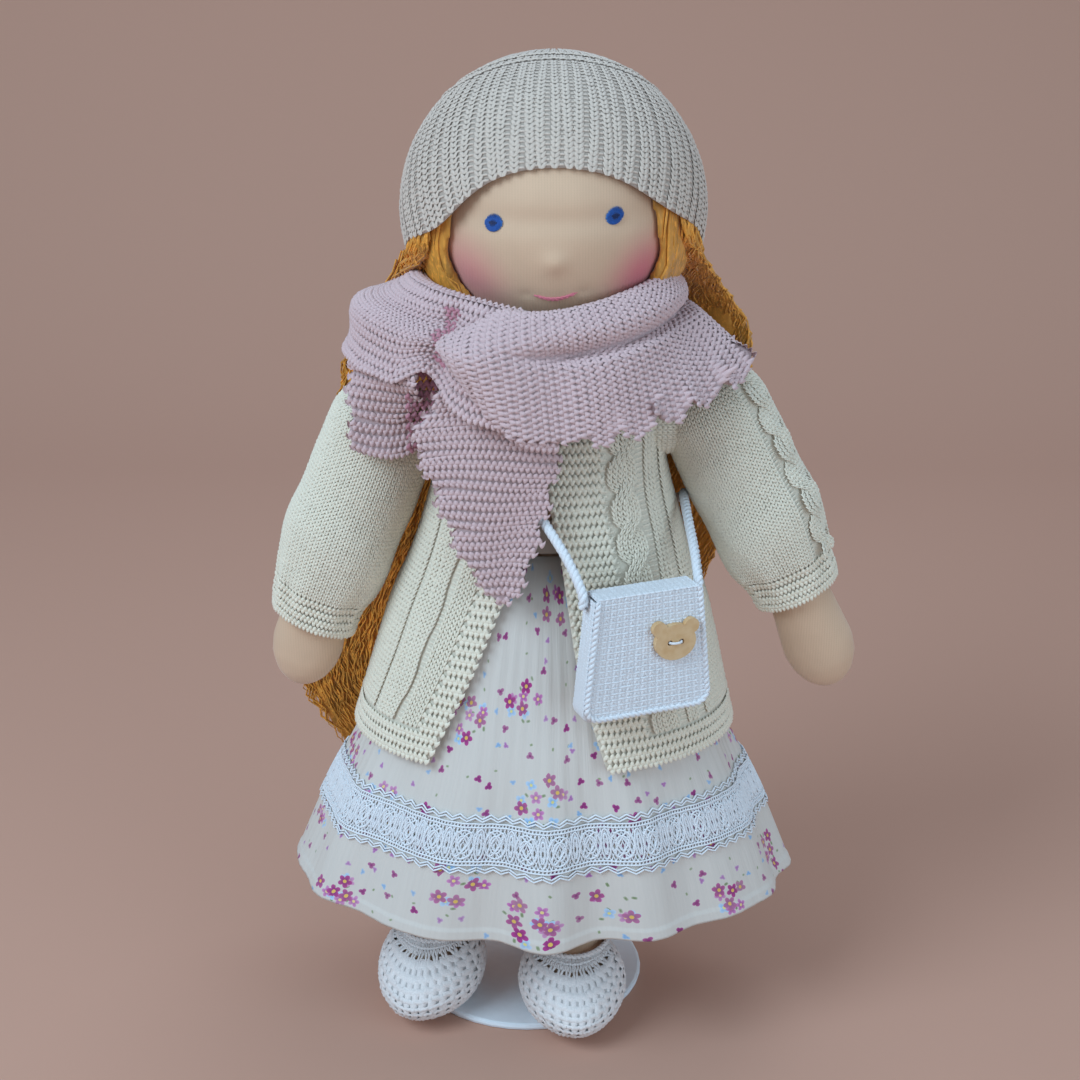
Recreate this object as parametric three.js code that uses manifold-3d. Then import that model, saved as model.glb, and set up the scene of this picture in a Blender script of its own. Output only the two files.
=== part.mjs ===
// A dressed waldorf doll on its display stand.
// Millimetres, +Z up. The doll faces -Y, and +X is its own left side.
// The origin is the centre of the stand disc's underside.
import * as THREE from 'three';
import { mergeVertices } from 'three/addons/utils/BufferGeometryUtils.js';
import Module from 'manifold-3d';

const wasm = await Module();
wasm.setup();

// Clearances
const seat = 0.3; // between two pieces that rest on each other
const ease = 0.4; // between a soft layer and what it covers
const swingEase = 0.8; // between a swinging limb and what it passes
const overrun = 5; // how far a cutter runs past what it cuts
const weld = 0.001; // vertices nearer than this are one vertex

// Display stand
const discRadius = 50;
const discHeight = 3;
const discEdge = 1.2; // the rolled rim
const postRadius = 3.5;
const postBore = 2.3;
const postTop = 105;
const postSetBack = 14; // behind the disc's centre
const rodRadius = 2;
const rodBottom = 45;
const clipWire = 1.6; // radius of the spring wire
const clipHubRadius = 4;
const clipHubHeight = 9;
const clipShare = 0.46; // the clip's place between the tops of the legs and the waist
const clipMouth = 70 * Math.PI / 180; // half the angle of the open front

// Body under the clothes
const bodyX = 8;
const bodyY = -18;
const torsoTop = 300;
const torsoHalfWidth = 38;
const torsoWidthShares = [[0, 0], [0.03, 0.62], [0.07, 0.88], [0.16, 1], [0.3, 0.93], [0.42, 0.83],
  [0.58, 0.89], [0.7, 0.92], [0.78, 0.84], [0.84, 0.58], [0.89, 0.4], [0.95, 0.37], [1, 0.37]];
const torsoDepthShares = [[0, 0.72], [0.7, 0.72], [0.84, 0.86], [0.9, 1], [1, 1]];
const hipHeight = 150;
const torsoBottom = hipHeight;
const hipSpread = 22; // from the body's middle to a hip
const hipEase = 1.3; // round the top of a leg
const shoulderSpread = 65;
const leftShoulderHeight = 262;
const rightShoulderHeight = 256;
const shoulderMiddle = 9; // x halfway between the shoulders
const shoulderSeamInset = 18; // from the shoulder's centre to its seam on the body
const shoulderSeamRadius = 13.6;

// Arms, hands and sleeves
const armRadius = 14.5;
const leftArmLength = 127; // shoulder centre to fingertip
const rightArmLength = 116;
const wristDistance = 74;
const armWidthShares = [[0, 1], [0.45, 0.95], [0.62, 0.84], [0.8, 1.02], [1, 0.98]];
const armDepthShares = [[0, 1], [0.5, 0.94], [0.64, 0.95], [0.82, 0.78], [1, 0.74]];
const handRound = 20;
const leftArmLean = 26 * Math.PI / 180;
const leftHandLean = 22 * Math.PI / 180;
const rightArmLean = 22 * Math.PI / 180;
const rightHandLean = 14 * Math.PI / 180;
const sleeveRadius = 22.5;
const leftSleeveLength = 81; // shoulder centre to the cuff's edge
const rightSleeveLength = 85; // pushed down over the hand
const sleeveWidthShares = [[0, 1], [0.35, 1.03], [0.6, 1.03], [0.78, 0.95], [0.88, 0.84], [1, 0.8]];
const sleeveWall = 3;
const sleeveMouth = 42; // depth of the open cuff
const armSwingForward = 75 * Math.PI / 180;
const armSwingBack = 15 * Math.PI / 180;

// Legs and feet
const legRadius = 17.5;
const ankleShare = 0.78;
const leftFootX = 19;
const leftFootY = -39;
const rightFootX = -41;
const rightFootY = -27;
const ankleSetBack = 13; // from the middle of the foot to the ankle
const ankleHeight = 22;
const leftFootTurn = 4 * Math.PI / 180;
const rightFootTurn = -15 * Math.PI / 180; // the toes point out

// Shoes
const shoeHalfWidth = 22.5;
const shoeHalfLength = 31;
const shoeHeight = 36;
const soleShare = 0.8; // how much of the rounded form is cut flat below
const shoeWall = 2.4;
const toeShares = { narrow: 0.2, low: 0.3 }; // how much narrower and lower the toe is
const shoeMouthBack = 9; // from the middle of the foot to the middle of the mouth
const shoeMouthHalfWidth = 15.5;
const shoeMouthHalfLength = 17.5;
const shoeMouthDepth = 20;

// Head and face
const headX = 10.5;
const headY = -20;
const headZ = 343;
const headHalfWidth = 45.5;
const headHalfDepth = 45;
const headHalfHeight = 46;
const eyeLineShares = { height: 0.09, band: 0.1, depth: 0.03 };
const eyeSpread = 21.9;
const eyeHeight = 347.2;
const headRoll = 3.3 * Math.PI / 180; // the doll's left eye is the higher one
const eyeHalfWidth = 3.1;
const eyeHalfHeight = 3;
const stitchLift = 1.3;
const noseRadius = 4.2;
const noseHeight = 332;
const noseSunk = 2.6;
const mouthHeight = 318.5;
const mouthHalfWidth = 9.5;
const mouthSmile = 2.4;
const mouthThread = 0.9;

// Hat
const hatY = -14;
const hatRadius = 58.5;
const hatWall = 2.2;
const hatTilt = 33 * Math.PI / 180;
const hatFrontTuck = 5;
const hatBrimFront = 97 * Math.PI / 180;
const hatBrimSide = 105 * Math.PI / 180;

// Hair
const faceHalfWidth = 38;
const faceTopZ = 374;
const hairCapBottom = 298;
const hairTop = 325;
const hairBackTop = 300;
const hairLeftBottom = 140;
const hairRightBottom = 80;
const hairHalfWidth = 90;
const hairBack = 50; // how far behind the origin the ends lie
const hairThickness = 9;
const hairLeftEdgeShares = [[0, 0.64], [0.1, 0.76], [0.2, 0.87], [0.4, 0.86], [0.65, 0.82], [1, 0.62]];
const hairRightEdgeShares = [[0, 0.64], [0.1, 0.76], [0.17, 0.88], [0.4, 0.98], [0.65, 1.16], [0.82, 1.22],
  [1, 0.98]];
const hairBackShares = [[0, 0.52], [0.14, 0.62], [0.45, 0.62], [0.56, 0.66], [0.66, 0.77], [0.78, 0.9], [1, 1]];
const hairSideShares = [[0, -0.1], [0.1, -0.06], [0.16, 0.14], [0.25, 0.2], [0.4, 0.32], [0.55, 0.5],
  [0.8, 0.72], [1, 0.9]];

// Dress
const skirtX = 6;
const waistHeight = 212;
const clipHeight = THREE.MathUtils.lerp(hipHeight + legRadius, waistHeight, clipShare);
const rodTop = clipHeight + clipHubHeight;
const hemHeight = 60;
const skirtHalfWidth = 107;
const skirtHalfDepth = 66;
const skirtWall = 1.4;
const skirtWidthShares = [[0, 0.318], [0.053, 0.41], [0.092, 0.455], [0.145, 0.5], [0.309, 0.595],
  [0.474, 0.67], [0.553, 0.715], [0.77, 0.865], [1, 1]];
const skirtDepthShares = [[0, 0.382], [0.053, 0.52], [0.092, 0.595], [0.145, 0.64], [0.309, 0.727],
  [0.553, 0.85], [0.77, 0.94], [1, 1]];
const skirtUpperRowShares = [0, 0.12, 0.33];
const skirtFolds = 12;
const skirtFoldDepth = 6;
const skirtFoldShares = [[0, 0.05], [0.5, 0.22], [0.75, 0.7], [1, 1]];
const skirtSideRise = 8; // how much higher the hem hangs at the doll's right side
const bodiceTop = 266;
const bodiceWall = 1.2;
const laceAboveHem = 30;
const laceHeight = 25;
const laceWall = 0.9;
const laceScallop = 1.6;

// Cardigan
const cardiganTop = 290;
const cardiganBottom = 135;
const cardiganHalfWidth = 78;
const cardiganHalfDepth = 60;
const cardiganWall = 3.5;
const cardiganWidthShares = [[0, 0.28], [0.04, 0.37], [0.1, 0.49], [0.18, 0.56], [0.29, 0.585], [0.45, 0.665],
  [0.548, 0.73], [0.645, 0.81], [0.806, 0.9], [1, 1]];
const cardiganDepthShares = [[0, 0.34], [0.04, 0.41], [0.1, 0.5], [0.18, 0.6], [0.29, 0.65], [0.45, 0.7],
  [0.548, 0.735], [0.645, 0.79], [0.806, 0.89], [1, 1]];
const cardiganMiddleShares = [[0, 0.115], [0.45, 0.128], [1, 0.09]];
const leftFrontShares = [[0, 0], [0.3, -0.03], [0.48, 0.07], [0.74, 0.17], [1, 0.32]];
const rightFrontShares = [[0, -0.1], [0.3, -0.17], [0.55, -0.31], [0.74, -0.425], [1, -0.6]];

// Shawl
const shawlX = 8;
const shawlY = -20;
const shawlReach = 78; // from the neck's middle to the shoulder corners
const shawlTop = 322;
const shawlDrop = 52;
const shawlThickness = 5;
// by the angle from the front, from -1 at the back round the doll's right side to 1
const shawlTopReachShares = [[-1, 0.5], [-0.75, 0.56], [-0.45, 0.64], [-0.2, 0.6], [0, 0.58], [0.25, 0.58],
  [0.47, 0.56], [0.75, 0.52], [1, 0.5]];
const shawlTopDropShares = [[-1, 0.12], [-0.75, 0.05], [-0.45, 0.02], [-0.2, 0.12], [0, 0.22], [0.12, 0.18],
  [0.25, 0.11], [0.47, 0.06], [0.75, 0.08], [1, 0.12]];
const shawlHemReachShares = [[-1, 0.62], [-0.68, 0.8], [-0.5, 0.97], [-0.4, 0.98], [-0.25, 0.86], [0, 0.75],
  [0.12, 0.78], [0.25, 0.84], [0.36, 0.92], [0.44, 1.02], [0.52, 0.92], [0.68, 0.78], [1, 0.62]];
const shawlHemDropShares = [[-1, 0.72], [-0.68, 0.66], [-0.5, 0.57], [-0.4, 0.6], [-0.25, 0.74], [-0.1, 0.93],
  [0, 1], [0.12, 0.97], [0.25, 0.86], [0.36, 0.75], [0.46, 0.62], [0.55, 0.62], [0.75, 0.7], [1, 0.72]];
const shawlPuffShares = [[-1, 0.04], [-0.6, 0.07], [-0.4, 0.09], [-0.2, 0.05], [0, 0.06], [0.25, 0.03],
  [0.47, -0.02], [0.7, 0.03], [1, 0.04]];
const shawlToothShares = [[-1, 1], [-0.35, 1], [-0.22, 0], [0.03, 0], [0.1, 1], [1, 1]];
const shawlTooth = 2.6;
const shawlTeeth = 27;
const knotX = -29;
const knotY = -68;
const knotZ = 296;
const knotRadius = 10;
const knotFlatShare = 0.7;
const tailTop = 288;
const tailTip = 203;
const tailHalfWidth = 26;
const tailFront = -71;
const tailThickness = 4;
const tailMiddleShares = [[0, -0.9], [0.2, -0.83], [0.6, -0.76], [1, -0.62]];
const tailWidthShares = [[0, 0.8], [0.2, 1], [0.45, 0.8], [0.75, 0.5], [1, 0.05]];
const sideTailX = -52;
const sideTailTop = 289;
const sideTailBottom = 257;
const sideTailHalfWidth = 13.5;
const sideTailFront = -48;

// Shoulder bag
const bagX = 43.5;
const bagY = -73.6;
const bagTop = 210;
const bagTurn = 22 * Math.PI / 180;
const bagHalfWidth = 21;
const bagFlareShare = 1.24; // the bottom's width over the top's
const bagHeight = 48.5;
const bagDepth = 10;
const bagWall = 1.8;
const flapHalfWidth = 20.6;
const flapLength = 46.5;
const flapWall = 1.6;
const buttonAcross = 10;
const buttonDown = 18.5;
const buttonHalfWidth = 8.4;
const buttonHalfHeight = 7.2;
const buttonEar = 3;
const buttonThickness = 2.4;
const buttonHole = 1.1;
const buttonHoleSpread = 2.4;
const threadRadius = 0.5;

// Bag strap: a crocheted cord from one top corner of the bag, over the doll's right shoulder
// and under its left arm
const strapRadius = 2.1;
const strapSteps = 44;
const strapSides = 7;
const strapRoute = [
  [21.4, -82.5, 207], [20.8, -81.4, 213], [15, -74.5, 224], [6.5, -65.4, 235], [0, -61.6, 244], [-7, -57, 254],
  [-12.5, -52.4, 263], [-19, -43, 275], [-23.5, -30, 282.5], [-24.5, -16, 285], [-22.5, -3, 282.5],
  [-15.5, 11.5, 273.5], [-4, 21.5, 261], [13, 25.5, 246], [31, 24, 233], [47, 18, 224], [58.4, 8.5, 219],
  [62.6, -2, 222.5], [62.9, -12, 227.5], [62.2, -22, 229.6], [62.4, -32, 228], [63.2, -42, 224],
  [64.4, -53, 218.5], [65.2, -61.5, 212], [65.6, -64.7, 207],
];

// Colours
const skinColour = 0xe8c3a6;
const hairColour = 0xc98a3c;
const hatColour = 0xd9d2c6;
const shawlColour = 0xcfa8b0;
const cardiganColour = 0xe6e2cc;
const dressColour = 0xf1ece6;
const whiteColour = 0xf4f4f6;
const shoeColour = 0xf0e6e4;
const standColour = 0xc9d0d8;
const woodColour = 0xd2a878;
const eyeColour = 0x2a62b8;
const mouthColour = 0xe07888;
const clothRoughness = 0.9;
const metalRoughness = 0.4;
const woodRoughness = 0.6;

// A smooth curve through a table of [place, value] rows, both as shares.
function follow(shares, place) {
  let row = 0;
  while (row < shares.length - 2 && place > shares[row + 1][0]) row += 1;
  const [here, next] = [shares[row], shares[row + 1]];
  const slope = (a, b) => (b[1] - a[1]) / (b[0] - a[0]);
  const run = next[0] - here[0];
  const enter = row > 0 ? slope(shares[row - 1], next) : slope(here, next);
  const leave = row < shares.length - 2 ? slope(here, shares[row + 2]) : slope(here, next);
  const t = THREE.MathUtils.clamp((place - here[0]) / run, 0, 1);
  const bend = t * t * (3 - 2 * t);
  return here[1] + (next[1] - here[1]) * bend
    + run * t * (1 - t) * (enter * (1 - t) - leave * t);
}

// A closed solid from a geometry, with its faces pointing out.
function solid(geometry) {
  const bare = new THREE.BufferGeometry().setAttribute('position', geometry.getAttribute('position'));
  if (geometry.index) bare.setIndex(geometry.index);
  const merged = mergeVertices(bare, weld);
  const corners = Array.from(merged.index.array);
  const faces = [];
  for (let i = 0; i < corners.length; i += 3) {
    const [a, b, c] = corners.slice(i, i + 3);
    if (a !== b && b !== c && c !== a) faces.push([a, b, c]);
  }
  const build = (list) => new wasm.Manifold(new wasm.Mesh({
    numProp: 3,
    vertProperties: new Float32Array(merged.getAttribute('position').array),
    triVerts: new Uint32Array(list.flat()),
  }));
  const made = build(faces);
  return made.volume() < 0 ? build(faces.map(([a, b, c]) => [a, c, b])) : made;
}

// Moves every vertex of a geometry to where place puts it, and closes the result.
function shaped(geometry, place) {
  const position = geometry.getAttribute('position');
  const spot = new THREE.Vector3();
  for (let i = 0; i < position.count; i += 1) {
    const moved = place(spot.fromBufferAttribute(position, i));
    position.setXYZ(i, moved.x, moved.y, moved.z);
  }
  return solid(geometry);
}

// A rounded form: place gets the direction of each vertex.
function ball(sides, rows, place) {
  return shaped(new THREE.SphereGeometry(1, sides, rows), place);
}

// A sheet with a thickness: place gets the shares across, down and through it.
function sheet(across, down, place) {
  return shaped(new THREE.BoxGeometry(1, 1, 1, across, 1, down),
    (spot) => place(spot.x + 0.5, 0.5 - spot.z, spot.y + 0.5));
}

// A band that closes on itself: place gets the angle from the front, and the shares down and through it.
function band(sides, down, place) {
  const profile = [];
  for (let row = 0; row <= down; row += 1) profile.push(new THREE.Vector2(2, row / down));
  for (let row = down; row >= 0; row -= 1) profile.push(new THREE.Vector2(1, row / down));
  profile.push(profile[0].clone());
  return shaped(new THREE.LatheGeometry(profile, sides),
    (spot) => place(Math.atan2(spot.x, spot.z), spot.y, Math.hypot(spot.x, spot.z) - 1));
}

// A round bar that follows a line: line gives the middle at a distance, and width and depth are its half sizes.
function bar(sides, distances, line, width, depth) {
  const profile = distances.map((distance, i) => {
    const end = i === 0 || i === distances.length - 1;
    return new THREE.Vector2(end ? 0 : 1, i);
  });
  return shaped(new THREE.LatheGeometry(profile, sides), (spot) => {
    const distance = distances[Math.round(spot.y)];
    const { middle, side } = line(distance);
    return middle.clone()
      .addScaledVector(side, spot.x * width(distance))
      .add(new THREE.Vector3(0, spot.z * depth(distance), 0));
  });
}

function moved(made, x, y, z) {
  return made.translate([x, y, z]);
}

// A cylinder along +Z, or turned to lie along another axis.
function cylinder(radius, from, to, sides, axis = 'z') {
  const geometry = new THREE.CylinderGeometry(radius, radius, to - from, sides);
  geometry.translate(0, (from + to) / 2, 0);
  if (axis === 'z') geometry.rotateX(Math.PI / 2);
  if (axis === 'x') geometry.rotateZ(-Math.PI / 2);
  return solid(geometry);
}

function block(fromX, toX, fromY, toY, fromZ, toZ) {
  const geometry = new THREE.BoxGeometry(toX - fromX, toY - fromY, toZ - fromZ);
  return moved(solid(geometry), (fromX + toX) / 2, (fromY + toY) / 2, (fromZ + toZ) / 2);
}

// A round cord through a list of points.
function cord(points, radius, sides, steps) {
  const section = new THREE.Shape();
  for (let i = 0; i < sides; i += 1) {
    const turn = i / sides * 2 * Math.PI;
    const [x, y] = [radius * Math.cos(turn), radius * Math.sin(turn)];
    if (i === 0) section.moveTo(x, y);
    else section.lineTo(x, y);
  }
  section.closePath();
  const extrudePath = new THREE.CatmullRomCurve3(points, false, 'centripetal');
  return solid(new THREE.ExtrudeGeometry(section, { steps, bevelEnabled: false, extrudePath }));
}

function cut(made, ...cutters) {
  return cutters.reduce((rest, cutter) => rest.subtract(cutter), made);
}

// The largest body of a solid, without the loose crumbs that a cut leaves.
function whole(made) {
  return made.decompose().reduce((most, body) => (body.volume() > most.volume() ? body : most));
}

const sides = { left: 1, right: -1 };

// Shoulders and arms
function shoulder(side) {
  const height = side === 'left' ? leftShoulderHeight : rightShoulderHeight;
  return new THREE.Vector3(shoulderMiddle + sides[side] * shoulderSpread, bodyY, height);
}

function armLine(side, distance) {
  const lean = side === 'left' ? leftArmLean : rightArmLean;
  const handLean = side === 'left' ? leftHandLean : rightHandLean;
  const outward = sides[side];
  const direction = (angle) => new THREE.Vector3(outward * Math.sin(angle), 0, -Math.cos(angle));
  const middle = shoulder(side).addScaledVector(direction(lean), Math.min(distance, wristDistance));
  const past = Math.max(distance - wristDistance, 0);
  middle.addScaledVector(direction(handLean), past);
  const angle = past > 0 ? handLean : lean;
  return { middle, side: new THREE.Vector3(outward * Math.cos(angle), 0, Math.sin(angle)) };
}

function armLength(side) {
  return side === 'left' ? leftArmLength : rightArmLength;
}

function sleeveLength(side) {
  return side === 'left' ? leftSleeveLength : rightSleeveLength;
}

// Distances along a limb: close together round its ball end, and again round its tip.
function limbDistances(radius, length, tip, rows) {
  const distances = [];
  for (let i = 0; i < rows; i += 1) distances.push(-radius * Math.cos(i / rows * Math.PI / 2));
  const straight = length - tip;
  for (let i = 0; i < rows; i += 1) distances.push(straight * i / rows);
  for (let i = 0; i <= rows; i += 1) distances.push(straight + tip * Math.sin(i / rows * Math.PI / 2));
  return distances;
}

function limbRadius(radius, length, tip, shares, distance) {
  if (distance < 0) return Math.sqrt(Math.max(radius * radius - distance * distance, 0));
  const past = Math.max(distance - (length - tip), 0) / tip;
  return radius * follow(shares, distance / length) * Math.sqrt(Math.max(1 - past * past, 0));
}

function arm(side, grow) {
  const [radius, length] = [armRadius + grow, armLength(side) + grow];
  const width = (distance) => limbRadius(radius, length, handRound, armWidthShares, distance);
  const depth = (distance) => limbRadius(radius, length, handRound, armDepthShares, distance);
  const form = bar(16, limbDistances(radius, length, handRound, 4), (d) => armLine(side, d), width, depth);
  const { x, y, z } = shoulder(side);
  const seam = cylinder(shoulderSeamRadius + grow, 0, shoulderSeamInset + grow, 16, 'x');
  const turned = side === 'left' ? seam.rotate([0, 180, 0]) : seam;
  return form.add(moved(turned, x, y, z));
}

function sleeveForm(side, radius, length) {
  const round = (distance) => limbRadius(radius, length, weld, sleeveWidthShares,
    Math.min(distance, length - weld));
  const distances = limbDistances(radius, length, weld, 4).slice(0, 8);
  distances.push(length, length);
  return bar(14, distances, (d) => armLine(side, d), round, round);
}

// The same form turned about the line through the shoulder, forward when the angle is positive.
function swung(side, made, angle) {
  const { x, y, z } = shoulder(side);
  const turned = moved(made, -x, -y, -z).rotate([-angle / Math.PI * 180, 0, 0]);
  return moved(turned, x, y, z);
}

// The sleeve with room round it, turned about its shoulder.
function armTurned(side, angle) {
  return swung(side, sleeveForm(side, sleeveRadius + swingEase, sleeveLength(side) + swingEase), angle);
}

function armSweep(side, grow) {
  const form = sleeveForm(side, sleeveRadius + grow, sleeveLength(side) + grow);
  const angles = [-armSwingBack, -armSwingBack / 2, 0];
  for (let i = 1; i <= 5; i += 1) angles.push(armSwingForward * i / 5);
  return angles.map((angle) => swung(side, form, angle)).reduce((all, one) => all.add(one));
}

function sleeve(side) {
  const { x, y, z } = shoulder(side);
  const length = sleeveLength(side);
  const outer = sleeveForm(side, sleeveRadius, length);
  const start = length - sleeveMouth;
  const rows = [start, start, length - sleeveMouth / 2, length, length + overrun, length + overrun];
  const inside = (d) => sleeveRadius * follow(sleeveWidthShares, Math.min(d / length, 1)) - sleeveWall;
  const mouth = bar(14, rows, (d) => armLine(side, d), inside, inside);
  const seam = cylinder(shoulderSeamRadius + ease, 0, sleeveRadius + overrun, 16, 'x');
  const armhole = side === 'left' ? seam.rotate([0, 180, 0]) : seam;
  return whole(cut(outer, mouth, arm(side, ease), moved(armhole, x, y, z)));
}

// Body
function torsoForm(grow) {
  const height = torsoTop - torsoBottom;
  const rows = torsoWidthShares.map(([share]) => torsoBottom + share * height);
  rows.push(torsoTop);
  const width = (z) => torsoHalfWidth * follow(torsoWidthShares, (z - torsoBottom) / height) + grow;
  const depth = (z) => width(z) * follow(torsoDepthShares, (z - torsoBottom) / height);
  const line = (z) => ({ middle: new THREE.Vector3(bodyX, bodyY, z), side: new THREE.Vector3(1, 0, 0) });
  return bar(18, rows, line, width, depth);
}

function shoulderYoke(grow) {
  return ['left', 'right'].map((side) => {
    const { x, y, z } = shoulder(side);
    const end = x - sides[side] * (shoulderSeamInset + seat - grow);
    const [from, to] = [Math.min(shoulderMiddle, end), Math.max(shoulderMiddle, end)];
    return moved(cylinder(shoulderSeamRadius + grow, from, to, 16, 'x'), 0, y, z);
  }).reduce((one, other) => one.add(other));
}

function headPoint(direction, lift) {
  const front = Math.max(-direction.y, 0);
  const off = (direction.z - eyeLineShares.height) / eyeLineShares.band;
  const hollow = 1 - eyeLineShares.depth * front * front * Math.exp(-off * off);
  return new THREE.Vector3(
    headX + direction.x * (headHalfWidth * hollow + lift),
    headY + direction.y * (headHalfDepth * hollow + lift),
    headZ + direction.z * (headHalfHeight * hollow + lift),
  );
}

function headForm(grow, around = 24, rows = 18) {
  return ball(around, rows, (spot) => headPoint(new THREE.Vector3(spot.x, spot.z, spot.y), grow));
}

// The point of the face at a sideways and upward distance from the head's middle.
function facePoint(x, z, lift) {
  const across = x / headHalfWidth;
  const high = z / headHalfHeight;
  const forward = Math.sqrt(1 - across * across - high * high);
  return headPoint(new THREE.Vector3(across, -forward, high), lift);
}

// Where a place in a foot's own frame lies: across it, and behind its middle.
function footSpot(side, across, behind) {
  const left = side === 'left';
  const turn = left ? leftFootTurn : rightFootTurn;
  return {
    x: (left ? leftFootX : rightFootX) + across * Math.cos(turn) - behind * Math.sin(turn),
    y: (left ? leftFootY : rightFootY) + across * Math.sin(turn) + behind * Math.cos(turn),
  };
}

function legLine(side, height) {
  const hip = bodyX + sides[side] * hipSpread;
  const ankle = footSpot(side, 0, ankleSetBack);
  const share = (hipHeight - Math.min(height, hipHeight)) / (hipHeight - ankleHeight);
  return new THREE.Vector3(
    THREE.MathUtils.lerp(hip, ankle.x, share),
    THREE.MathUtils.lerp(bodyY, ankle.y, share),
    height,
  );
}

function hipBall(side, grow) {
  const { x, y, z } = legLine(side, hipHeight);
  return ball(16, 10, (spot) => spot.clone().multiplyScalar(legRadius + grow).add(new THREE.Vector3(x, y, z)));
}

function lowerLeg(side, grow) {
  const rows = [ankleHeight, ankleHeight];
  for (let i = 1; i <= 2; i += 1) rows.push(THREE.MathUtils.lerp(ankleHeight, hipHeight, i / 2));
  rows.push(hipHeight);
  const round = (height) => {
    const share = (hipHeight - height) / (hipHeight - ankleHeight);
    return legRadius * THREE.MathUtils.lerp(1, ankleShare, share) + grow;
  };
  const line = (height) => ({ middle: legLine(side, height), side: new THREE.Vector3(1, 0, 0) });
  return bar(16, rows, line, round, round);
}

// The rounded form of a foot or shoe, cut flat below and inset from the shoe's outside by a wall.
function footForm(side, inset, around, rows) {
  const floor = discHeight + seat + inset;
  return ball(around, rows, (spot) => {
    const toe = Math.max(-spot.z, 0);
    const across = spot.x * (shoeHalfWidth - inset) * (1 - toeShares.narrow * toe * toe);
    const { x, y } = footSpot(side, across, spot.z * (shoeHalfLength - inset));
    const rise = Math.max((spot.y + soleShare) / (1 + soleShare), 0) * (1 - toeShares.low * toe);
    return new THREE.Vector3(x, y, floor + rise * (shoeHeight - 2 * inset));
  });
}

function leg(side) {
  return footForm(side, shoeWall + 2 * ease, 14, 8).add(lowerLeg(side, 0)).add(hipBall(side, 0));
}

function shoe(side) {
  const top = discHeight + shoeHeight;
  const bottom = top - shoeMouthDepth;
  const mouth = shaped(new THREE.CylinderGeometry(1, 1, 1, 18), (spot) => {
    const { x, y } = footSpot(side, spot.x * shoeMouthHalfWidth, shoeMouthBack + spot.z * shoeMouthHalfLength);
    return new THREE.Vector3(x, y, spot.y > 0 ? top + overrun : bottom);
  });
  const lining = footForm(side, shoeWall, 16, 10);
  return whole(cut(footForm(side, 0, 20, 12), lining, mouth, lowerLeg(side, ease)));
}

// Hat: a knitted dome about a tilted axis. The angle is measured from the front.
function hatShell(outer) {
  const rows = 8;
  const profile = [];
  for (let i = 0; i <= rows; i += 1) {
    const angle = i / rows * Math.PI / 2;
    profile.push(new THREE.Vector2(2 * Math.sin(angle), 2 * Math.cos(angle)));
  }
  for (let i = rows; i >= 0; i -= 1) {
    const angle = i / rows * Math.PI / 2;
    profile.push(new THREE.Vector2(Math.sin(angle), Math.cos(angle)));
  }
  return shaped(new THREE.LatheGeometry(profile, 32), (spot) => {
    const through = spot.length() - 1;
    const down = Math.atan2(Math.hypot(spot.x, spot.z), spot.y) / (Math.PI / 2);
    return hatPoint(Math.atan2(spot.x, spot.z), down, outer - hatWall * (1 - through));
  });
}

function hatPoint(angle, down, radius) {
  const sideways = Math.abs(angle) / (Math.PI / 2);
  const brim = THREE.MathUtils.lerp(hatBrimFront, hatBrimSide, THREE.MathUtils.smoothstep(sideways, 0, 1));
  const tuck = hatFrontTuck * (1 - THREE.MathUtils.smoothstep(sideways, 0, 1)) * down * down;
  const polar = brim * down;
  return new THREE.Vector3(
    Math.sin(polar) * Math.sin(angle),
    -Math.sin(polar) * Math.cos(angle),
    Math.cos(polar),
  ).multiplyScalar(radius - tuck);
}

// The hat's outside, filled, for what has to stay clear of it.
function hatDome(grow) {
  const rows = 8;
  const profile = [];
  for (let i = 0; i <= rows; i += 1) {
    const angle = i / rows * Math.PI / 2;
    profile.push(new THREE.Vector2(Math.sin(angle), Math.cos(angle)));
  }
  profile.push(new THREE.Vector2(0, 0));
  const upright = shaped(new THREE.LatheGeometry(profile, 32), (spot) => {
    if (spot.length() < 0.5) return new THREE.Vector3();
    const down = Math.atan2(Math.hypot(spot.x, spot.z), spot.y) / (Math.PI / 2);
    return hatPoint(Math.atan2(spot.x, spot.z), down * (1 + grow / hatRadius), hatRadius + grow);
  });
  return moved(upright.rotate([-hatTilt / Math.PI * 180, 0, 0]), headX, hatY, headZ);
}

// Hair: a cap under the hat, open at the face, and the long fall behind the shoulders
function hairForm(grow) {
  const radius = (hatRadius - hatWall) * Math.sin(hatBrimSide) - ease + grow;
  const upright = ball(20, 14, (spot) => {
    const angle = Math.atan2(spot.x, spot.z);
    const front = 1 - THREE.MathUtils.smoothstep(Math.abs(angle) / (Math.PI / 2), 0, 1);
    const lean = radius - hatFrontTuck * front * (1 - spot.y * spot.y);
    return new THREE.Vector3(spot.x, -spot.z, spot.y).multiplyScalar(lean);
  });
  return moved(upright.rotate([-hatTilt / Math.PI * 180, 0, 0]), headX, hatY, headZ);
}

function faceOpening() {
  const arch = cylinder(faceHalfWidth, hatY - hatRadius - overrun, headY - headHalfDepth / 2, 28, 'y');
  const archZ = faceTopZ - faceHalfWidth;
  const below = block(headX - faceHalfWidth, headX + faceHalfWidth, hatY - hatRadius - overrun,
    headY - headHalfDepth / 2, hairCapBottom - overrun, archZ);
  return moved(arch, headX, 0, archZ).add(below);
}

function hairCap() {
  const span = hatRadius + overrun;
  const floor = block(headX - span, headX + span, headY - span, headY + span, headZ - span, hairCapBottom);
  return whole(cut(hairForm(0), headForm(4 * ease, 16, 12), faceOpening(), floor, torsoForm(ease)));
}

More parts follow.
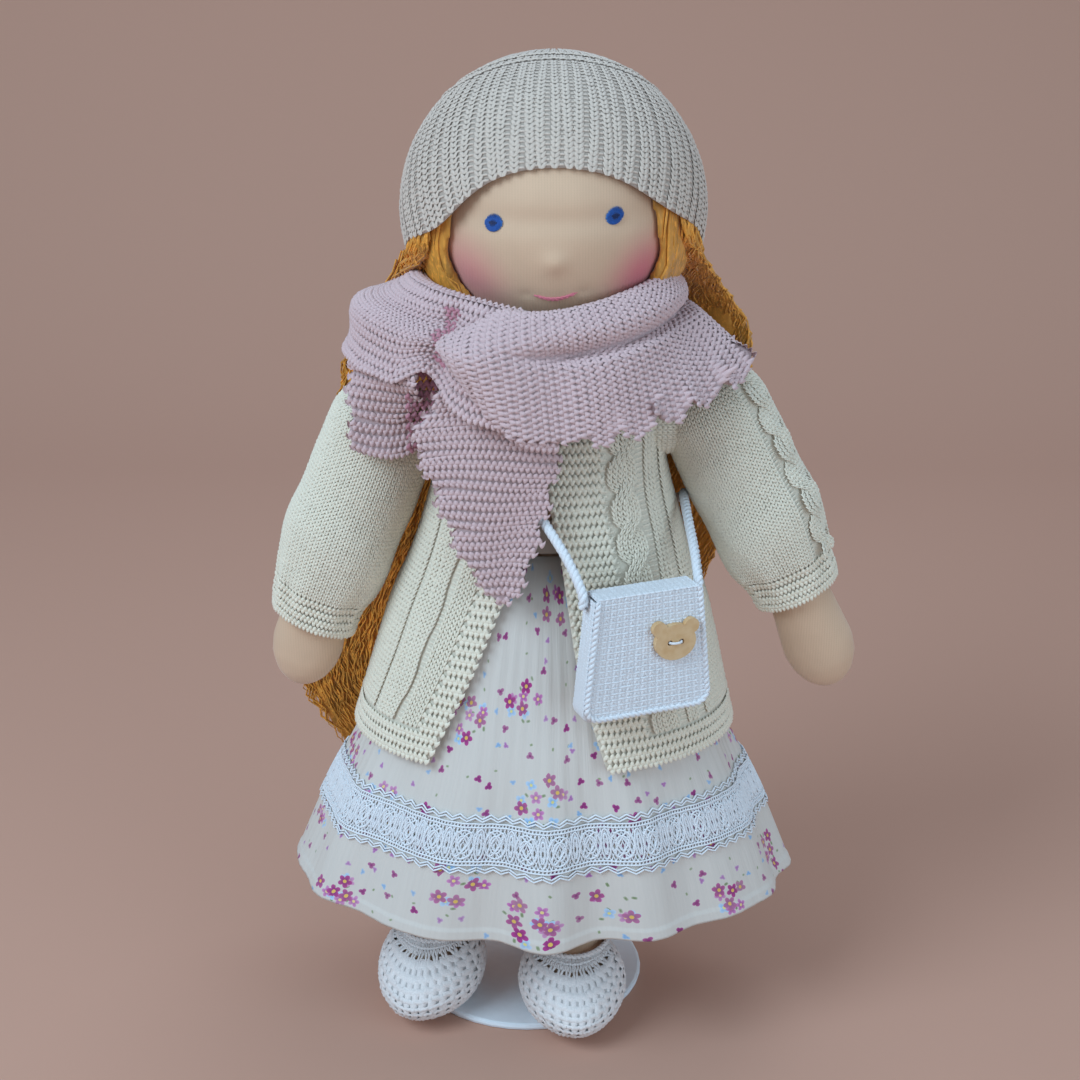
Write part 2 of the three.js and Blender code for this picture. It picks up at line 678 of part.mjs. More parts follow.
function hairFall() {
  return sheet(10, 9, (across, down, through) => {
    const off = 2 * across - 1;
    const edge = off > 0 ? follow(hairLeftEdgeShares, down) : follow(hairRightEdgeShares, down);
    const top = THREE.MathUtils.lerp(hairBackTop, hairTop, Math.abs(off));
    const bottom = THREE.MathUtils.lerp(hairRightBottom, hairLeftBottom, across);
    const middle = hairBack * follow(hairBackShares, down);
    const side = hairBack * follow(hairSideShares, down);
    const inner = THREE.MathUtils.lerp(middle, side, off * off);
    const thick = hairThickness * (1 - 0.4 * Math.abs(off) - 0.2 * down);
    return new THREE.Vector3(
      shoulderMiddle + off * hairHalfWidth * edge,
      inner + through * thick,
      THREE.MathUtils.lerp(top, bottom, down),
    );
  });
}

// Dress
function skirtPoint(angle, down, lift) {
  const width = skirtHalfWidth * follow(skirtWidthShares, down);
  const depth = skirtHalfDepth * follow(skirtDepthShares, down);
  const wave = 0.5 - 0.5 * Math.cos(skirtFolds * angle + Math.sin(3 * angle));
  const fold = skirtFoldDepth * follow(skirtFoldShares, down) * wave;
  const rise = skirtSideRise * Math.sin(angle) ** 2 * (0.7 - 0.3 * Math.sin(angle)) * down;
  return new THREE.Vector3(
    THREE.MathUtils.lerp(bodyX, skirtX, down) + Math.sin(angle) * (width - fold + lift),
    bodyY - Math.cos(angle) * (depth - fold + lift),
    THREE.MathUtils.lerp(waistHeight, hemHeight + rise, down),
  );
}

// The lace's top and bottom edges, as shares of the skirt's length. The skirt has a row of points at each.
function laceEdges() {
  return [laceAboveHem + laceHeight, laceAboveHem].map((up) => 1 - up / (waistHeight - hemHeight));
}

function skirtRows() {
  return [...skirtUpperRowShares, ...laceEdges(), 1];
}

function skirt() {
  const rows = skirtRows();
  return band(60, rows.length - 1, (angle, down, through) => {
    const share = rows[Math.round(down * (rows.length - 1))];
    return skirtPoint(angle, share, skirtWall * (through - 1));
  });
}

function skirtOutside(grow) {
  const rows = skirtRows();
  const profile = [new THREE.Vector2(0, 0)];
  for (let row = 0; row < rows.length; row += 1) profile.push(new THREE.Vector2(1, row));
  profile.push(new THREE.Vector2(0, rows.length - 1));
  return shaped(new THREE.LatheGeometry(profile, 60), (spot) => {
    const centred = Math.hypot(spot.x, spot.z) < 0.5;
    const point = skirtPoint(Math.atan2(spot.x, spot.z), rows[Math.round(spot.y)], grow);
    return centred ? new THREE.Vector3(skirtX, bodyY, point.z) : point;
  });
}

function lace() {
  const edges = laceEdges();
  const scallop = laceScallop / (waistHeight - hemHeight);
  return band(60, 1, (angle, down, through) => {
    const share = edges[Math.round(down)] + scallop * Math.cos(30 * angle) * (down > 0.5 ? 1 : -1);
    return skirtPoint(angle, share, 2 * seat + laceWall * through);
  });
}

function bodice() {
  const height = torsoTop - torsoBottom;
  const form = band(20, 4, (angle, down, through) => {
    const z = THREE.MathUtils.lerp(bodiceTop, waistHeight + seat, down);
    const share = (z - torsoBottom) / height;
    const width = torsoHalfWidth * follow(torsoWidthShares, share) + 3 * ease;
    const depth = width * follow(torsoDepthShares, share) + ease;
    return new THREE.Vector3(
      bodyX + Math.sin(angle) * (width + bodiceWall * through),
      bodyY - Math.cos(angle) * (depth + bodiceWall * through),
      z,
    );
  });
  return whole(cut(form, shoulderYoke(ease)));
}

// Cardigan
function cardiganPoint(turn, down, lift) {
  const width = cardiganHalfWidth * follow(cardiganWidthShares, down) + lift;
  const depth = cardiganHalfDepth * follow(cardiganDepthShares, down) + lift;
  return new THREE.Vector3(
    cardiganHalfWidth * follow(cardiganMiddleShares, down) + Math.sin(turn) * width,
    bodyY - Math.cos(turn) * depth,
    THREE.MathUtils.lerp(cardiganTop, cardiganBottom, down),
  );
}

function cardiganForm() {
  return sheet(28, 8, (across, down, through) => {
    const from = Math.asin(follow(leftFrontShares, down));
    const to = Math.asin(follow(rightFrontShares, down)) + 2 * Math.PI;
    return cardiganPoint(THREE.MathUtils.lerp(from, to, across), down, cardiganWall * (through - 1));
  });
}

function cardiganOutside(grow) {
  const rows = 8;
  const profile = [new THREE.Vector2(0, 0)];
  for (let row = 0; row <= rows; row += 1) profile.push(new THREE.Vector2(1, row / rows));
  profile.push(new THREE.Vector2(0, 1));
  return shaped(new THREE.LatheGeometry(profile, 32), (spot) => {
    const centred = Math.hypot(spot.x, spot.z) < 0.5;
    const point = cardiganPoint(Math.atan2(spot.x, spot.z), spot.y, grow);
    return centred ? new THREE.Vector3(bodyX, bodyY, point.z) : point;
  });
}

// Shawl: a cowl round the neck whose section changes with the angle from the front, and its tails
function shawlSection(angle, corner, grow) {
  const turn = angle / Math.PI;
  const topReach = shawlReach * follow(shawlTopReachShares, turn);
  const topZ = shawlTop - shawlDrop * follow(shawlTopDropShares, turn);
  const hemReach = shawlReach * follow(shawlHemReachShares, turn);
  const tooth = shawlTooth * follow(shawlToothShares, turn) * Math.cos(shawlTeeth * angle);
  const hemZ = shawlTop - shawlDrop * follow(shawlHemDropShares, turn) + tooth;
  const thick = shawlThickness;
  const puff = shawlReach * follow(shawlPuffShares, turn);
  const corners = [
    [topReach - thick, topZ - thick / 2],
    [topReach, topZ],
    [topReach + thick, topZ - thick],
    [(topReach + hemReach) / 2 + puff, (topZ + hemZ) / 2 + puff / 2],
    [hemReach, hemZ],
    [hemReach - thick * 0.6, hemZ - thick * 0.3],
    [(topReach + hemReach) / 2 - thick, (topZ + hemZ) / 2 - thick],
    [topReach - 2 * thick, topZ - 6 * thick],
  ];
  const [reach, z] = corners[corner];
  const outward = corner > 0 && corner < 6 ? grow : -grow;
  return new THREE.Vector3(
    shawlX + Math.sin(angle) * (reach + outward),
    shawlY - Math.cos(angle) * (reach + outward),
    z + (corner < 4 ? grow : -grow),
  );
}

function shawlCowl(grow) {
  const profile = [];
  for (let corner = 0; corner <= 8; corner += 1) {
    const turn = corner / 8 * 2 * Math.PI;
    profile.push(new THREE.Vector2(3 + Math.cos(turn), Math.sin(turn)));
  }
  return shaped(new THREE.LatheGeometry(profile, 2 * shawlTeeth), (spot) => {
    const turn = Math.atan2(spot.y, Math.hypot(spot.x, spot.z) - 3);
    const corner = (Math.round(turn / (2 * Math.PI) * 8) + 8) % 8;
    return shawlSection(Math.atan2(spot.x, spot.z), corner, grow);
  });
}

function frontTail() {
  return sheet(3, 14, (across, down, through) => {
    const off = 2 * across - 1;
    const middle = shawlX + tailHalfWidth * follow(tailMiddleShares, down);
    const tooth = shawlTooth / 2 * Math.cos(14 * Math.PI * down) * Math.abs(off) * off;
    return new THREE.Vector3(
      middle + off * tailHalfWidth * follow(tailWidthShares, down) + tooth,
      tailFront + tailThickness * through,
      THREE.MathUtils.lerp(tailTop, tailTip, down),
    );
  });
}

function knot(grow) {
  return ball(16, 10, (spot) => new THREE.Vector3(
    knotX + spot.x * (knotRadius + grow),
    knotY + spot.z * (knotRadius * knotFlatShare + grow),
    knotZ + spot.y * (knotRadius + grow),
  ));
}

function sideTail() {
  return sheet(3, 6, (across, down, through) => {
    const off = 2 * across - 1;
    const tooth = shawlTooth / 2 * Math.cos(6 * Math.PI * down) * off;
    const sag = sideTailHalfWidth / 4 * (1 - off * off) * down;
    return new THREE.Vector3(
      sideTailX + off * sideTailHalfWidth + tooth,
      sideTailFront + tailThickness * (through + down * 0.5),
      THREE.MathUtils.lerp(sideTailTop, sideTailBottom, down) - sag,
    );
  });
}

// Bag, in its own frame: the middle of its top edge at the origin, its front towards -Y
function bagFlared(made, halfWidth, fromY, toY, top, bottom, radius) {
  const outline = new THREE.Shape();
  const low = halfWidth * THREE.MathUtils.lerp(1, bagFlareShare, (top - bottom) / bagHeight);
  outline.moveTo(-halfWidth, top);
  outline.lineTo(-low, bottom + radius);
  outline.quadraticCurveTo(-low, bottom, -low + radius, bottom);
  outline.lineTo(low - radius, bottom);
  outline.quadraticCurveTo(low, bottom, low, bottom + radius);
  outline.lineTo(halfWidth, top);
  outline.closePath();
  const settings = { depth: toY - fromY, bevelEnabled: false, curveSegments: 5 };
  const geometry = new THREE.ExtrudeGeometry(outline, settings);
  geometry.rotateX(Math.PI / 2);
  geometry.translate(0, toY, 0);
  const plate = solid(geometry);
  return made ? made.add(plate) : plate;
}

function bagPouch() {
  const half = bagDepth / 2;
  const outer = bagFlared(null, bagHalfWidth, -half, half, 0, -bagHeight, bagDepth / 2);
  const inner = bagFlared(null, bagHalfWidth - bagWall, -half + bagWall, half - bagWall, overrun,
    -bagHeight + bagWall, bagDepth / 3);
  return cut(outer, inner);
}

function bagFlap() {
  const half = bagDepth / 2;
  const lid = block(-flapHalfWidth, flapHalfWidth, -half - seat - flapWall, half, seat, seat + flapWall);
  return bagFlared(lid, flapHalfWidth, -half - seat - flapWall, -half - seat, seat + flapWall, -flapLength,
    bagDepth / 2);
}

function bearOutline() {
  const outline = new THREE.Shape();
  outline.absellipse(0, 0, buttonHalfWidth, buttonHalfHeight, 0, 2 * Math.PI);
  return outline;
}

function bearButton() {
  const settings = { depth: buttonThickness, bevelEnabled: false, curveSegments: 12 };
  const flat = (outline, x, y) => moved(solid(new THREE.ExtrudeGeometry(outline, settings)), x, y, 0);
  const ring = (radius) => new THREE.Shape().absarc(0, 0, radius, 0, 2 * Math.PI);
  const earX = buttonHalfWidth * 0.78;
  const earY = buttonHalfHeight * 0.8;
  const small = { ...settings, curveSegments: 9 };
  const ear = (x) => moved(solid(new THREE.ExtrudeGeometry(ring(buttonEar), small)), x, earY, 0);
  const hole = (x) => moved(cylinder(buttonHole, -overrun, overrun, 10), x, 0, 0);
  const face = flat(bearOutline(), 0, 0).add(ear(-earX)).add(ear(earX));
  const drilled = cut(face, hole(-buttonHoleSpread), hole(buttonHoleSpread));
  return drilled.rotate([90, 0, 0]);
}

function buttonThread() {
  const out = buttonThickness + threadRadius * 1.6;
  const points = [
    [-buttonHoleSpread, 0], [-buttonHoleSpread, -out * 0.7], [-buttonHoleSpread * 0.6, -out],
    [buttonHoleSpread * 0.6, -out], [buttonHoleSpread, -out * 0.7], [buttonHoleSpread, 0],
  ].map(([x, y]) => new THREE.Vector3(x, y, 0));
  return cord(points, threadRadius, 6, 10);
}

// Stand
function standDisc() {
  const profile = [new THREE.Vector2(0, 0), new THREE.Vector2(discRadius - discEdge, 0)];
  for (let i = 0; i <= 4; i += 1) {
    const angle = -Math.PI / 2 + i / 4 * Math.PI;
    profile.push(new THREE.Vector2(
      discRadius - discEdge + discEdge * Math.cos(angle),
      discHeight / 2 + discHeight / 2 * Math.sin(angle),
    ));
  }
  profile.push(new THREE.Vector2(0, discHeight));
  return shaped(new THREE.LatheGeometry(profile, 40), (spot) => new THREE.Vector3(spot.x, spot.z, spot.y));
}

function standPost() {
  const tube = cylinder(postRadius, discHeight + seat, postTop, 24);
  return cut(tube, cylinder(postBore, 0, postTop + overrun, 24));
}

// The spring clip: a wire hoop round the waist, open in front, on a hub at the top of the rod
function waistClip() {
  const share = (clipHeight - torsoBottom) / (torsoTop - torsoBottom);
  const width = torsoHalfWidth * follow(torsoWidthShares, share);
  const depth = width * follow(torsoDepthShares, share);
  const away = ease + clipWire;
  const points = [];
  const steps = 14;
  for (let i = 0; i <= steps; i += 1) {
    const angle = THREE.MathUtils.lerp(clipMouth, 2 * Math.PI - clipMouth, i / steps);
    points.push(new THREE.Vector3(
      bodyX + Math.sin(angle) * (width + away),
      bodyY - Math.cos(angle) * (depth + away),
      clipHeight,
    ));
  }
  const hoop = cord(points, clipWire, 8, 26);
  const half = clipHubHeight / 2;
  const reach = block(-clipWire, clipWire, bodyY + depth + away, postSetBack, clipHeight - clipWire,
    clipHeight + clipWire);
  const hub = moved(cylinder(clipHubRadius, clipHeight - half, clipHeight + half, 16), 0, postSetBack, 0);
  const bore = moved(cylinder(rodRadius + seat, clipHeight - 2 * half, clipHeight + 2 * half, 16), 0,
    postSetBack, 0);
  return cut(hoop.add(hub).add(reach), bore);
}

// Assembly
const doll = new THREE.Group();
doll.name = 'waldorf_doll';

function group(parent, name) {
  const made = new THREE.Group();
  made.name = name;
  parent.add(made);
  return made;
}

function addPiece(parent, name, made, color, roughness = clothRoughness, metalness = 0) {
  const mesh = made.getMesh();
  const geometry = new THREE.BufferGeometry();
  const positions = new Float32Array(mesh.vertProperties.length / mesh.numProp * 3);
  for (let i = 0; i < positions.length / 3; i += 1) {
    for (let axis = 0; axis < 3; axis += 1) {
      positions[3 * i + axis] = mesh.vertProperties[mesh.numProp * i + axis];
    }
  }
  geometry.setAttribute('position', new THREE.BufferAttribute(positions, 3));
  geometry.setIndex(new THREE.BufferAttribute(new Uint32Array(mesh.triVerts), 1));
  geometry.computeVertexNormals();
  const piece = new THREE.Mesh(geometry, new THREE.MeshStandardMaterial({ color, roughness, metalness }));
  piece.name = name;
  parent.add(piece);
  return piece;
}

const stand = group(doll, 'stand');
addPiece(stand, 'stand_base', standDisc(), standColour, metalRoughness);
addPiece(stand, 'stand_post', standPost(), standColour, metalRoughness).position.y = postSetBack;
addPiece(stand, 'stand_rod', cylinder(rodRadius, rodBottom, rodTop, 16), standColour, metalRoughness)
  .position.y = postSetBack;
addPiece(stand, 'stand_waist_clip', waistClip(), standColour, metalRoughness);

const body = group(doll, 'body');
const hips = ['left', 'right'].map((side) => hipBall(side, hipEase));
const torso = cut(torsoForm(0).add(shoulderYoke(0)), ...hips, headForm(ease));
addPiece(body, 'torso', whole(torso), skinColour);

const nose = ball(10, 6, (spot) => facePoint(0, noseHeight - headZ, noseRadius - noseSunk - noseRadius)
  .addScaledVector(spot, noseRadius));
const head = group(doll, 'head');
addPiece(head, 'head', headForm(0).add(nose), skinColour);

for (const side of ['left', 'right']) {
  const eyeX = sides[side] * eyeSpread;
  const eyeZ = eyeHeight - headZ + eyeX * Math.sin(headRoll);
  const eye = ball(12, 6, (spot) => facePoint(
    eyeX + spot.x * eyeHalfWidth,
    eyeZ + spot.y * eyeHalfHeight,
    stitchLift * spot.z,
  ));
  addPiece(head, `${side}_eye`, whole(cut(eye, headForm(seat))), eyeColour);
}

const mouthPoints = [-1, -0.5, 0, 0.5, 1].map((off) => facePoint(
  off * mouthHalfWidth,
  mouthHeight - headZ + (off * off - 1) * mouthSmile / 2 + off * mouthHalfWidth * Math.sin(headRoll),
  seat + mouthThread / 2,
));
addPiece(head, 'mouth', whole(cut(cord(mouthPoints, mouthThread, 6, 10), headForm(seat))), mouthColour);
const cap = hairCap();
addPiece(head, 'wig_cap', cap, hairColour);

for (const side of ['left', 'right']) {
  const limb = group(doll, `${side}_arm_group`);
  addPiece(limb, `${side}_arm`, arm(side, 0), skinColour);
  addPiece(limb, `${side}_sleeve`, sleeve(side), cardiganColour);
  const lower = group(doll, `${side}_leg_group`);
  addPiece(lower, `${side}_leg`, leg(side), skinColour);
  addPiece(lower, `${side}_shoe`, shoe(side), shoeColour);
}

const clothes = group(doll, 'clothes');
addPiece(clothes, 'dress_bodice', bodice(), dressColour);
addPiece(clothes, 'dress_skirt', skirt(), dressColour);
addPiece(clothes, 'skirt_lace', lace(), whiteColour);
const sweeps = ['left', 'right'].map((side) => armSweep(side, swingEase));
const cardigan = whole(cut(cardiganForm(), ...sweeps, skirtOutside(ease), torsoForm(bodiceWall + 2 * ease),
  shoulderYoke(ease)));
addPiece(clothes, 'cardigan_body', cardigan, cardiganColour);

const strapPoints = strapRoute.map(([x, y, z]) => new THREE.Vector3(x, y, z));
const strapRoom = cord(strapPoints, strapRadius + 2 * ease, strapSides, strapSteps);
const shawl = cut(shawlCowl(0).add(frontTail()).add(knot(0)), headForm(ease), hairForm(ease),
  cardiganOutside(seat), ...sweeps, strapRoom, torsoForm(ease), hatDome(swingEase));
addPiece(clothes, 'shawl', whole(shawl), shawlColour);
const tailRoom = sleeveForm('right', sleeveRadius + ease, rightSleeveLength);
const loose = whole(cut(sideTail(), shawlCowl(seat), knot(seat), tailRoom));
addPiece(clothes, 'shawl_side_tail', loose, shawlColour);
const hatRoom = ball(32, 20, (spot) => new THREE.Vector3(headX, hatY, headZ)
  .addScaledVector(spot, hatRadius + swingEase));
const backSwing = ['left', 'right'].flatMap((side) => [-armSwingBack, -armSwingBack / 2, 0]
  .map((angle) => armTurned(side, angle)));
const fall = cut(hairFall(), hatRoom, shawlCowl(0), shawlCowl(ease), cardiganOutside(ease),
  skirtOutside(laceWall + seat + ease), strapRoom, hairForm(seat), ...backSwing);
addPiece(head, 'hair_fall', whole(fall), hairColour);

const hat = group(doll, 'hat_group');
hat.position.set(headX, hatY, headZ);
hat.rotation.x = -hatTilt;
addPiece(hat, 'hat', hatShell(hatRadius), hatColour);

addPiece(clothes, 'bag_strap', cord(strapPoints, strapRadius, strapSides, strapSteps), whiteColour);
const bag = group(doll, 'bag');
bag.position.set(bagX, bagY, bagTop);
bag.rotation.z = bagTurn;
addPiece(bag, 'bag_pouch', bagPouch(), whiteColour);
addPiece(bag, 'bag_flap', bagFlap(), whiteColour);
const buttonFront = -bagDepth / 2 - 2 * seat - flapWall;
addPiece(bag, 'bear_button', bearButton(), woodColour, woodRoughness)
  .position.set(buttonAcross, buttonFront, -buttonDown);
addPiece(bag, 'button_thread', buttonThread(), whiteColour)
  .position.set(buttonAcross, buttonFront, -buttonDown);

export default doll;
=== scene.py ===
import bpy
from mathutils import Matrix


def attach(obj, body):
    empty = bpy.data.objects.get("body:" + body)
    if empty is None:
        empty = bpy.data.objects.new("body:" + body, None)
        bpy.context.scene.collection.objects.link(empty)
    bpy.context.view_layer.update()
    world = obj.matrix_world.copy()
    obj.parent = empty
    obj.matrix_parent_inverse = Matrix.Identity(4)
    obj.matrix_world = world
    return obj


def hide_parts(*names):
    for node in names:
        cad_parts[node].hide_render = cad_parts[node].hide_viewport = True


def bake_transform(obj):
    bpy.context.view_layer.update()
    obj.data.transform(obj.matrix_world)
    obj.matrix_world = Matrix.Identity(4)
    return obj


bl_info = {
    "name": "Waldorf doll",
    "version": (1, 0, 0),
    "blender": (4, 5, 0),
    "location": "View3D > Sidebar > Waldorf doll",
    "description": "Knits, sews and dresses a soft doll over its packed frame",
    "category": "Object",
}

import math

import bmesh
import bpy
import numpy as np
from mathutils import Vector
from mathutils.bvhtree import BVHTree

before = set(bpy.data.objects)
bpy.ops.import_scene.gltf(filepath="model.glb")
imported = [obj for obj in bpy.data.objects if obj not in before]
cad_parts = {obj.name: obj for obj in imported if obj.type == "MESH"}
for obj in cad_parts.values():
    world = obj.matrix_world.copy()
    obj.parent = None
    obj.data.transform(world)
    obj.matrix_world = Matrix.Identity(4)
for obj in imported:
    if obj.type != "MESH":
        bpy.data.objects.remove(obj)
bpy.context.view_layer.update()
MM = 0.001
RNG = np.random.default_rng(7)
STEP = 1e-3  # how far apart the points are from which a surface's slopes are taken
TAPER = (0.8, 0.5, 0.12)  # how a strand narrows over its last points

# Sizes in millimetres and tables of shares, the same as the doll's own pattern
BODY_X, BODY_Y = 8.0, -18.0
HEAD = np.array([10.5, -20.0, 343.0])
HEAD_HALF = np.array([45.5, 45.0, 46.0])
HAT = np.array([10.5, -14.0, 343.0])
HAT_RADIUS, HAT_TILT, HAT_TUCK = 58.5, math.radians(33), 5.0
BRIM_FRONT, BRIM_SIDE = math.radians(97), math.radians(105)
SHOULDERS = {"left": np.array([74.0, -18.0, 262.0]), "right": np.array([-56.0, -18.0, 256.0])}
LEANS = {"left": (math.radians(26), math.radians(22)), "right": (math.radians(22), math.radians(14))}
OUTWARD = {"left": 1, "right": -1}
SLEEVE_RADIUS, WRIST = 22.5, 74.0
SLEEVE_LENGTHS = {"left": 81.0, "right": 85.0}
CABLE_ROWS = 14
SLEEVE_WIDTH = [[0, 1], [0.35, 1.03], [0.6, 1.03], [0.78, 0.95], [0.88, 0.84], [1, 0.8]]
CABLE_TURNS = {"left": 0.45, "right": -0.3}
CARDIGAN_TOP, CARDIGAN_BOTTOM, CARDIGAN_WIDE, CARDIGAN_DEEP = 290.0, 135.0, 78.0, 60.0
CARDIGAN_WIDTH = [[0, 0.28], [0.04, 0.37], [0.1, 0.49], [0.18, 0.56], [0.29, 0.585], [0.45, 0.665],
                  [0.548, 0.73], [0.645, 0.81], [0.806, 0.9], [1, 1]]
CARDIGAN_DEPTH = [[0, 0.34], [0.04, 0.41], [0.1, 0.5], [0.18, 0.6], [0.29, 0.65], [0.45, 0.7],
                  [0.548, 0.735], [0.645, 0.79], [0.806, 0.89], [1, 1]]
CARDIGAN_MIDDLE = [[0, 0.115], [0.45, 0.128], [1, 0.09]]
LEFT_FRONT = [[0, 0], [0.3, -0.03], [0.48, 0.07], [0.74, 0.17], [1, 0.32]]
RIGHT_FRONT = [[0, -0.1], [0.3, -0.17], [0.55, -0.31], [0.74, -0.425], [1, -0.6]]
WAIST, HEM, SKIRT_WIDE, SKIRT_DEEP, SKIRT_X = 212.0, 60.0, 107.0, 66.0, 6.0
SKIRT_WIDTH = [[0, 0.318], [0.053, 0.41], [0.092, 0.455], [0.145, 0.5], [0.309, 0.595], [0.474, 0.67],
               [0.553, 0.715], [0.77, 0.865], [1, 1]]
SKIRT_DEPTH = [[0, 0.382], [0.053, 0.52], [0.092, 0.595], [0.145, 0.64], [0.309, 0.727],
               [0.553, 0.85], [0.77, 0.94], [1, 1]]
SKIRT_FOLDS = [[0, 0.05], [0.5, 0.22], [0.75, 0.7], [1, 1]]
SHAWL_X, SHAWL_Y, SHAWL_REACH, SHAWL_TOP, SHAWL_DROP = 8.0, -20.0, 78.0, 322.0, 52.0
SHAWL_TOP_REACH = [[-1, 0.5], [-0.75, 0.56], [-0.45, 0.64], [-0.2, 0.6], [0, 0.58], [0.25, 0.58], [0.47, 0.56],
                   [0.75, 0.52], [1, 0.5]]
SHAWL_TOP_DROP = [[-1, 0.12], [-0.75, 0.05], [-0.45, 0.01], [-0.2, 0.07], [0, 0.135], [0.12, 0.09], [0.25, 0.03],
                  [0.47, 0.0], [0.75, 0.06], [1, 0.12]]
SHAWL_HEM_REACH = [[-1, 0.62], [-0.68, 0.8], [-0.5, 0.97], [-0.4, 0.98], [-0.25, 0.86], [0, 0.75], [0.12, 0.78],
                   [0.25, 0.84], [0.36, 0.92], [0.44, 1.02], [0.52, 0.92], [0.68, 0.78], [1, 0.62]]
SHAWL_HEM_DROP = [[-1, 0.72], [-0.68, 0.66], [-0.5, 0.57], [-0.4, 0.6], [-0.25, 0.74], [-0.1, 0.93], [0, 1],
                  [0.12, 0.97], [0.25, 0.86], [0.36, 0.75], [0.46, 0.62], [0.55, 0.62], [0.75, 0.7], [1, 0.72]]
SHAWL_PUFF = [[-1, 0.04], [-0.6, 0.07], [-0.4, 0.09], [-0.2, 0.05], [0, 0.06], [0.25, 0.03], [0.47, -0.02],
              [0.7, 0.03], [1, 0.04]]
SHAWL_TOOTH = [[-1, 1], [-0.56, 1], [-0.5, 0], [0.03, 0], [0.1, 1], [1, 1]]
SHAWL_TEETH, RIDGE, STITCH = 27, 3.9, 2.25
WRAP_END = -0.68
TAIL_MIDDLE = [[0, -0.84], [0.2, -0.83], [0.6, -0.76], [1, -0.62]]
TAIL_WIDTH = [[0, 0.62], [0.2, 1], [0.45, 0.8], [0.75, 0.5], [1, 0.05]]
HAIR_LEFT = [[0, 0.64], [0.1, 0.76], [0.2, 0.87], [0.4, 0.86], [0.65, 0.82], [1, 0.62]]
HAIR_RIGHT = [[0, 0.64], [0.1, 0.76], [0.17, 0.88], [0.4, 0.98], [0.65, 1.16], [0.82, 1.22], [1, 0.98]]
HAIR_BACK = [[0, 0.52], [0.14, 0.62], [0.45, 0.62], [0.56, 0.66], [0.66, 0.77], [0.78, 0.9], [1, 1]]
HAIR_SIDE = [[0, -0.1], [0.1, -0.06], [0.16, 0.14], [0.25, 0.2], [0.4, 0.32], [0.55, 0.5], [0.8, 0.72], [1, 0.9]]
FEET = {"left": (19.0, -39.0, math.radians(4)), "right": (-41.0, -27.0, math.radians(-15))}
LACE_REPEATS, LACE_LOW, LACE_HIGH = 43, 30.0, 55.0
STRAP_ROUTE = [
    [21.4, -82.5, 207], [20.8, -81.4, 213], [15, -74.5, 224], [6.5, -65.4, 235], [0, -61.6, 244], [-7, -57, 254],
    [-12.5, -52.4, 263], [-19, -43, 275], [-23.5, -30, 282.5], [-24.5, -16, 285], [-22.5, -3, 282.5],
    [-15.5, 11.5, 273.5], [-4, 21.5, 261], [13, 25.5, 246], [31, 24, 233], [47, 18, 224], [58.4, 8.5, 219],
    [62.6, -2, 222.5], [62.9, -12, 227.5], [62.2, -22, 229.6], [62.4, -32, 228], [63.2, -42, 224],
    [64.4, -53, 218.5], [65.2, -61.5, 212], [65.6, -64.7, 207]]
BAG_ORIGIN, BAG_TURN = np.array([43.5, -73.6, 210.0]), math.radians(22)


def follow(table, place):
    """A smooth curve through a table of [place, value] rows."""
    at, value = np.asarray(table, float).T
    place = np.clip(np.asarray(place, float), at[0], at[-1])
    last = len(at) - 2
    row = np.clip(np.searchsorted(at, place, side="left") - 1, 0, last)
    slope = lambda a, b: (value[b] - value[a]) / np.maximum(at[b] - at[a], 1e-9)
    run, rise = at[row + 1] - at[row], value[row + 1] - value[row]
    enter = np.where(row > 0, slope(np.maximum(row - 1, 0), row + 1), rise / run)
    leave = np.where(row < last, slope(row, np.minimum(row + 2, last + 1)), rise / run)
    t = (place - at[row]) / run
    return value[row] + rise * t * t * (3 - 2 * t) + run * t * (1 - t) * (enter * (1 - t) - leave * t)


def smooth(low, high, value):
    """A smooth step from 0 at low to 1 at high."""
    t = np.clip((value - low) / (high - low), 0, 1)
    return t * t * (3 - 2 * t)


def unit(vectors):
    """The vectors at length one."""
    return vectors / np.maximum(np.linalg.norm(vectors, axis=-1, keepdims=True), 1e-9)


def circle(count, start=0.0):
    """Angles spread evenly all the way round."""
    return np.linspace(start, start + 2 * math.pi, count, endpoint=False)


def cells(*counts):
    """The column and row numbers of a grid's cells."""
    return [a.ravel() for a in np.meshgrid(*map(np.arange, counts), indexing="ij")]


def far_along(line):
    """How far along a line each of its points lies."""
    return np.concatenate([[0], np.cumsum(np.linalg.norm(np.diff(line, axis=0), axis=1))])


# Materials

def colour(value):
    """An sRGB hex value as a linear colour. A linear colour stays as it is."""
    if not isinstance(value, str):
        return tuple(value)
    parts = [int(value[i:i + 2], 16) / 255 for i in (1, 3, 5)]
    return tuple(p / 12.92 if p <= 0.04045 else ((p + 0.055) / 1.055) ** 2.4 for p in parts) + (1.0,)


def shade(value, depth):
    """A darker or lighter shade of a colour."""
    return tuple(part * depth for part in colour(value)[:3]) + (1.0,)


def add(tree, kind, links=None, **settings):
    """A node with its settings, and its inputs set to values or joined to other nodes' outputs."""
    made = tree.nodes.new("ShaderNode" + kind)
    for name, value in settings.items():
        setattr(made, name, value)
    for name, value in (links or {}).items():
        if isinstance(value, bpy.types.NodeSocket):
            tree.links.new(value, made.inputs[name])
        else:
            made.inputs[name].default_value = value
    return made


def blended(tree, factor, a, b):
    """Colour a, with a factor of colour b in it."""
    return add(tree, "Mix", {0: factor, 6: a, 7: b}, data_type="RGBA").outputs[2]


def ranged(tree, value, low, high, to_low=0.0, to_high=1.0):
    """A value brought smoothly from low and high to to_low and to_high."""
    ends = {"Value": value, "From Min": low, "From Max": high, "To Min": to_low, "To Max": to_high}
    return add(tree, "MapRange", ends, interpolation_type="SMOOTHSTEP").outputs["Result"]


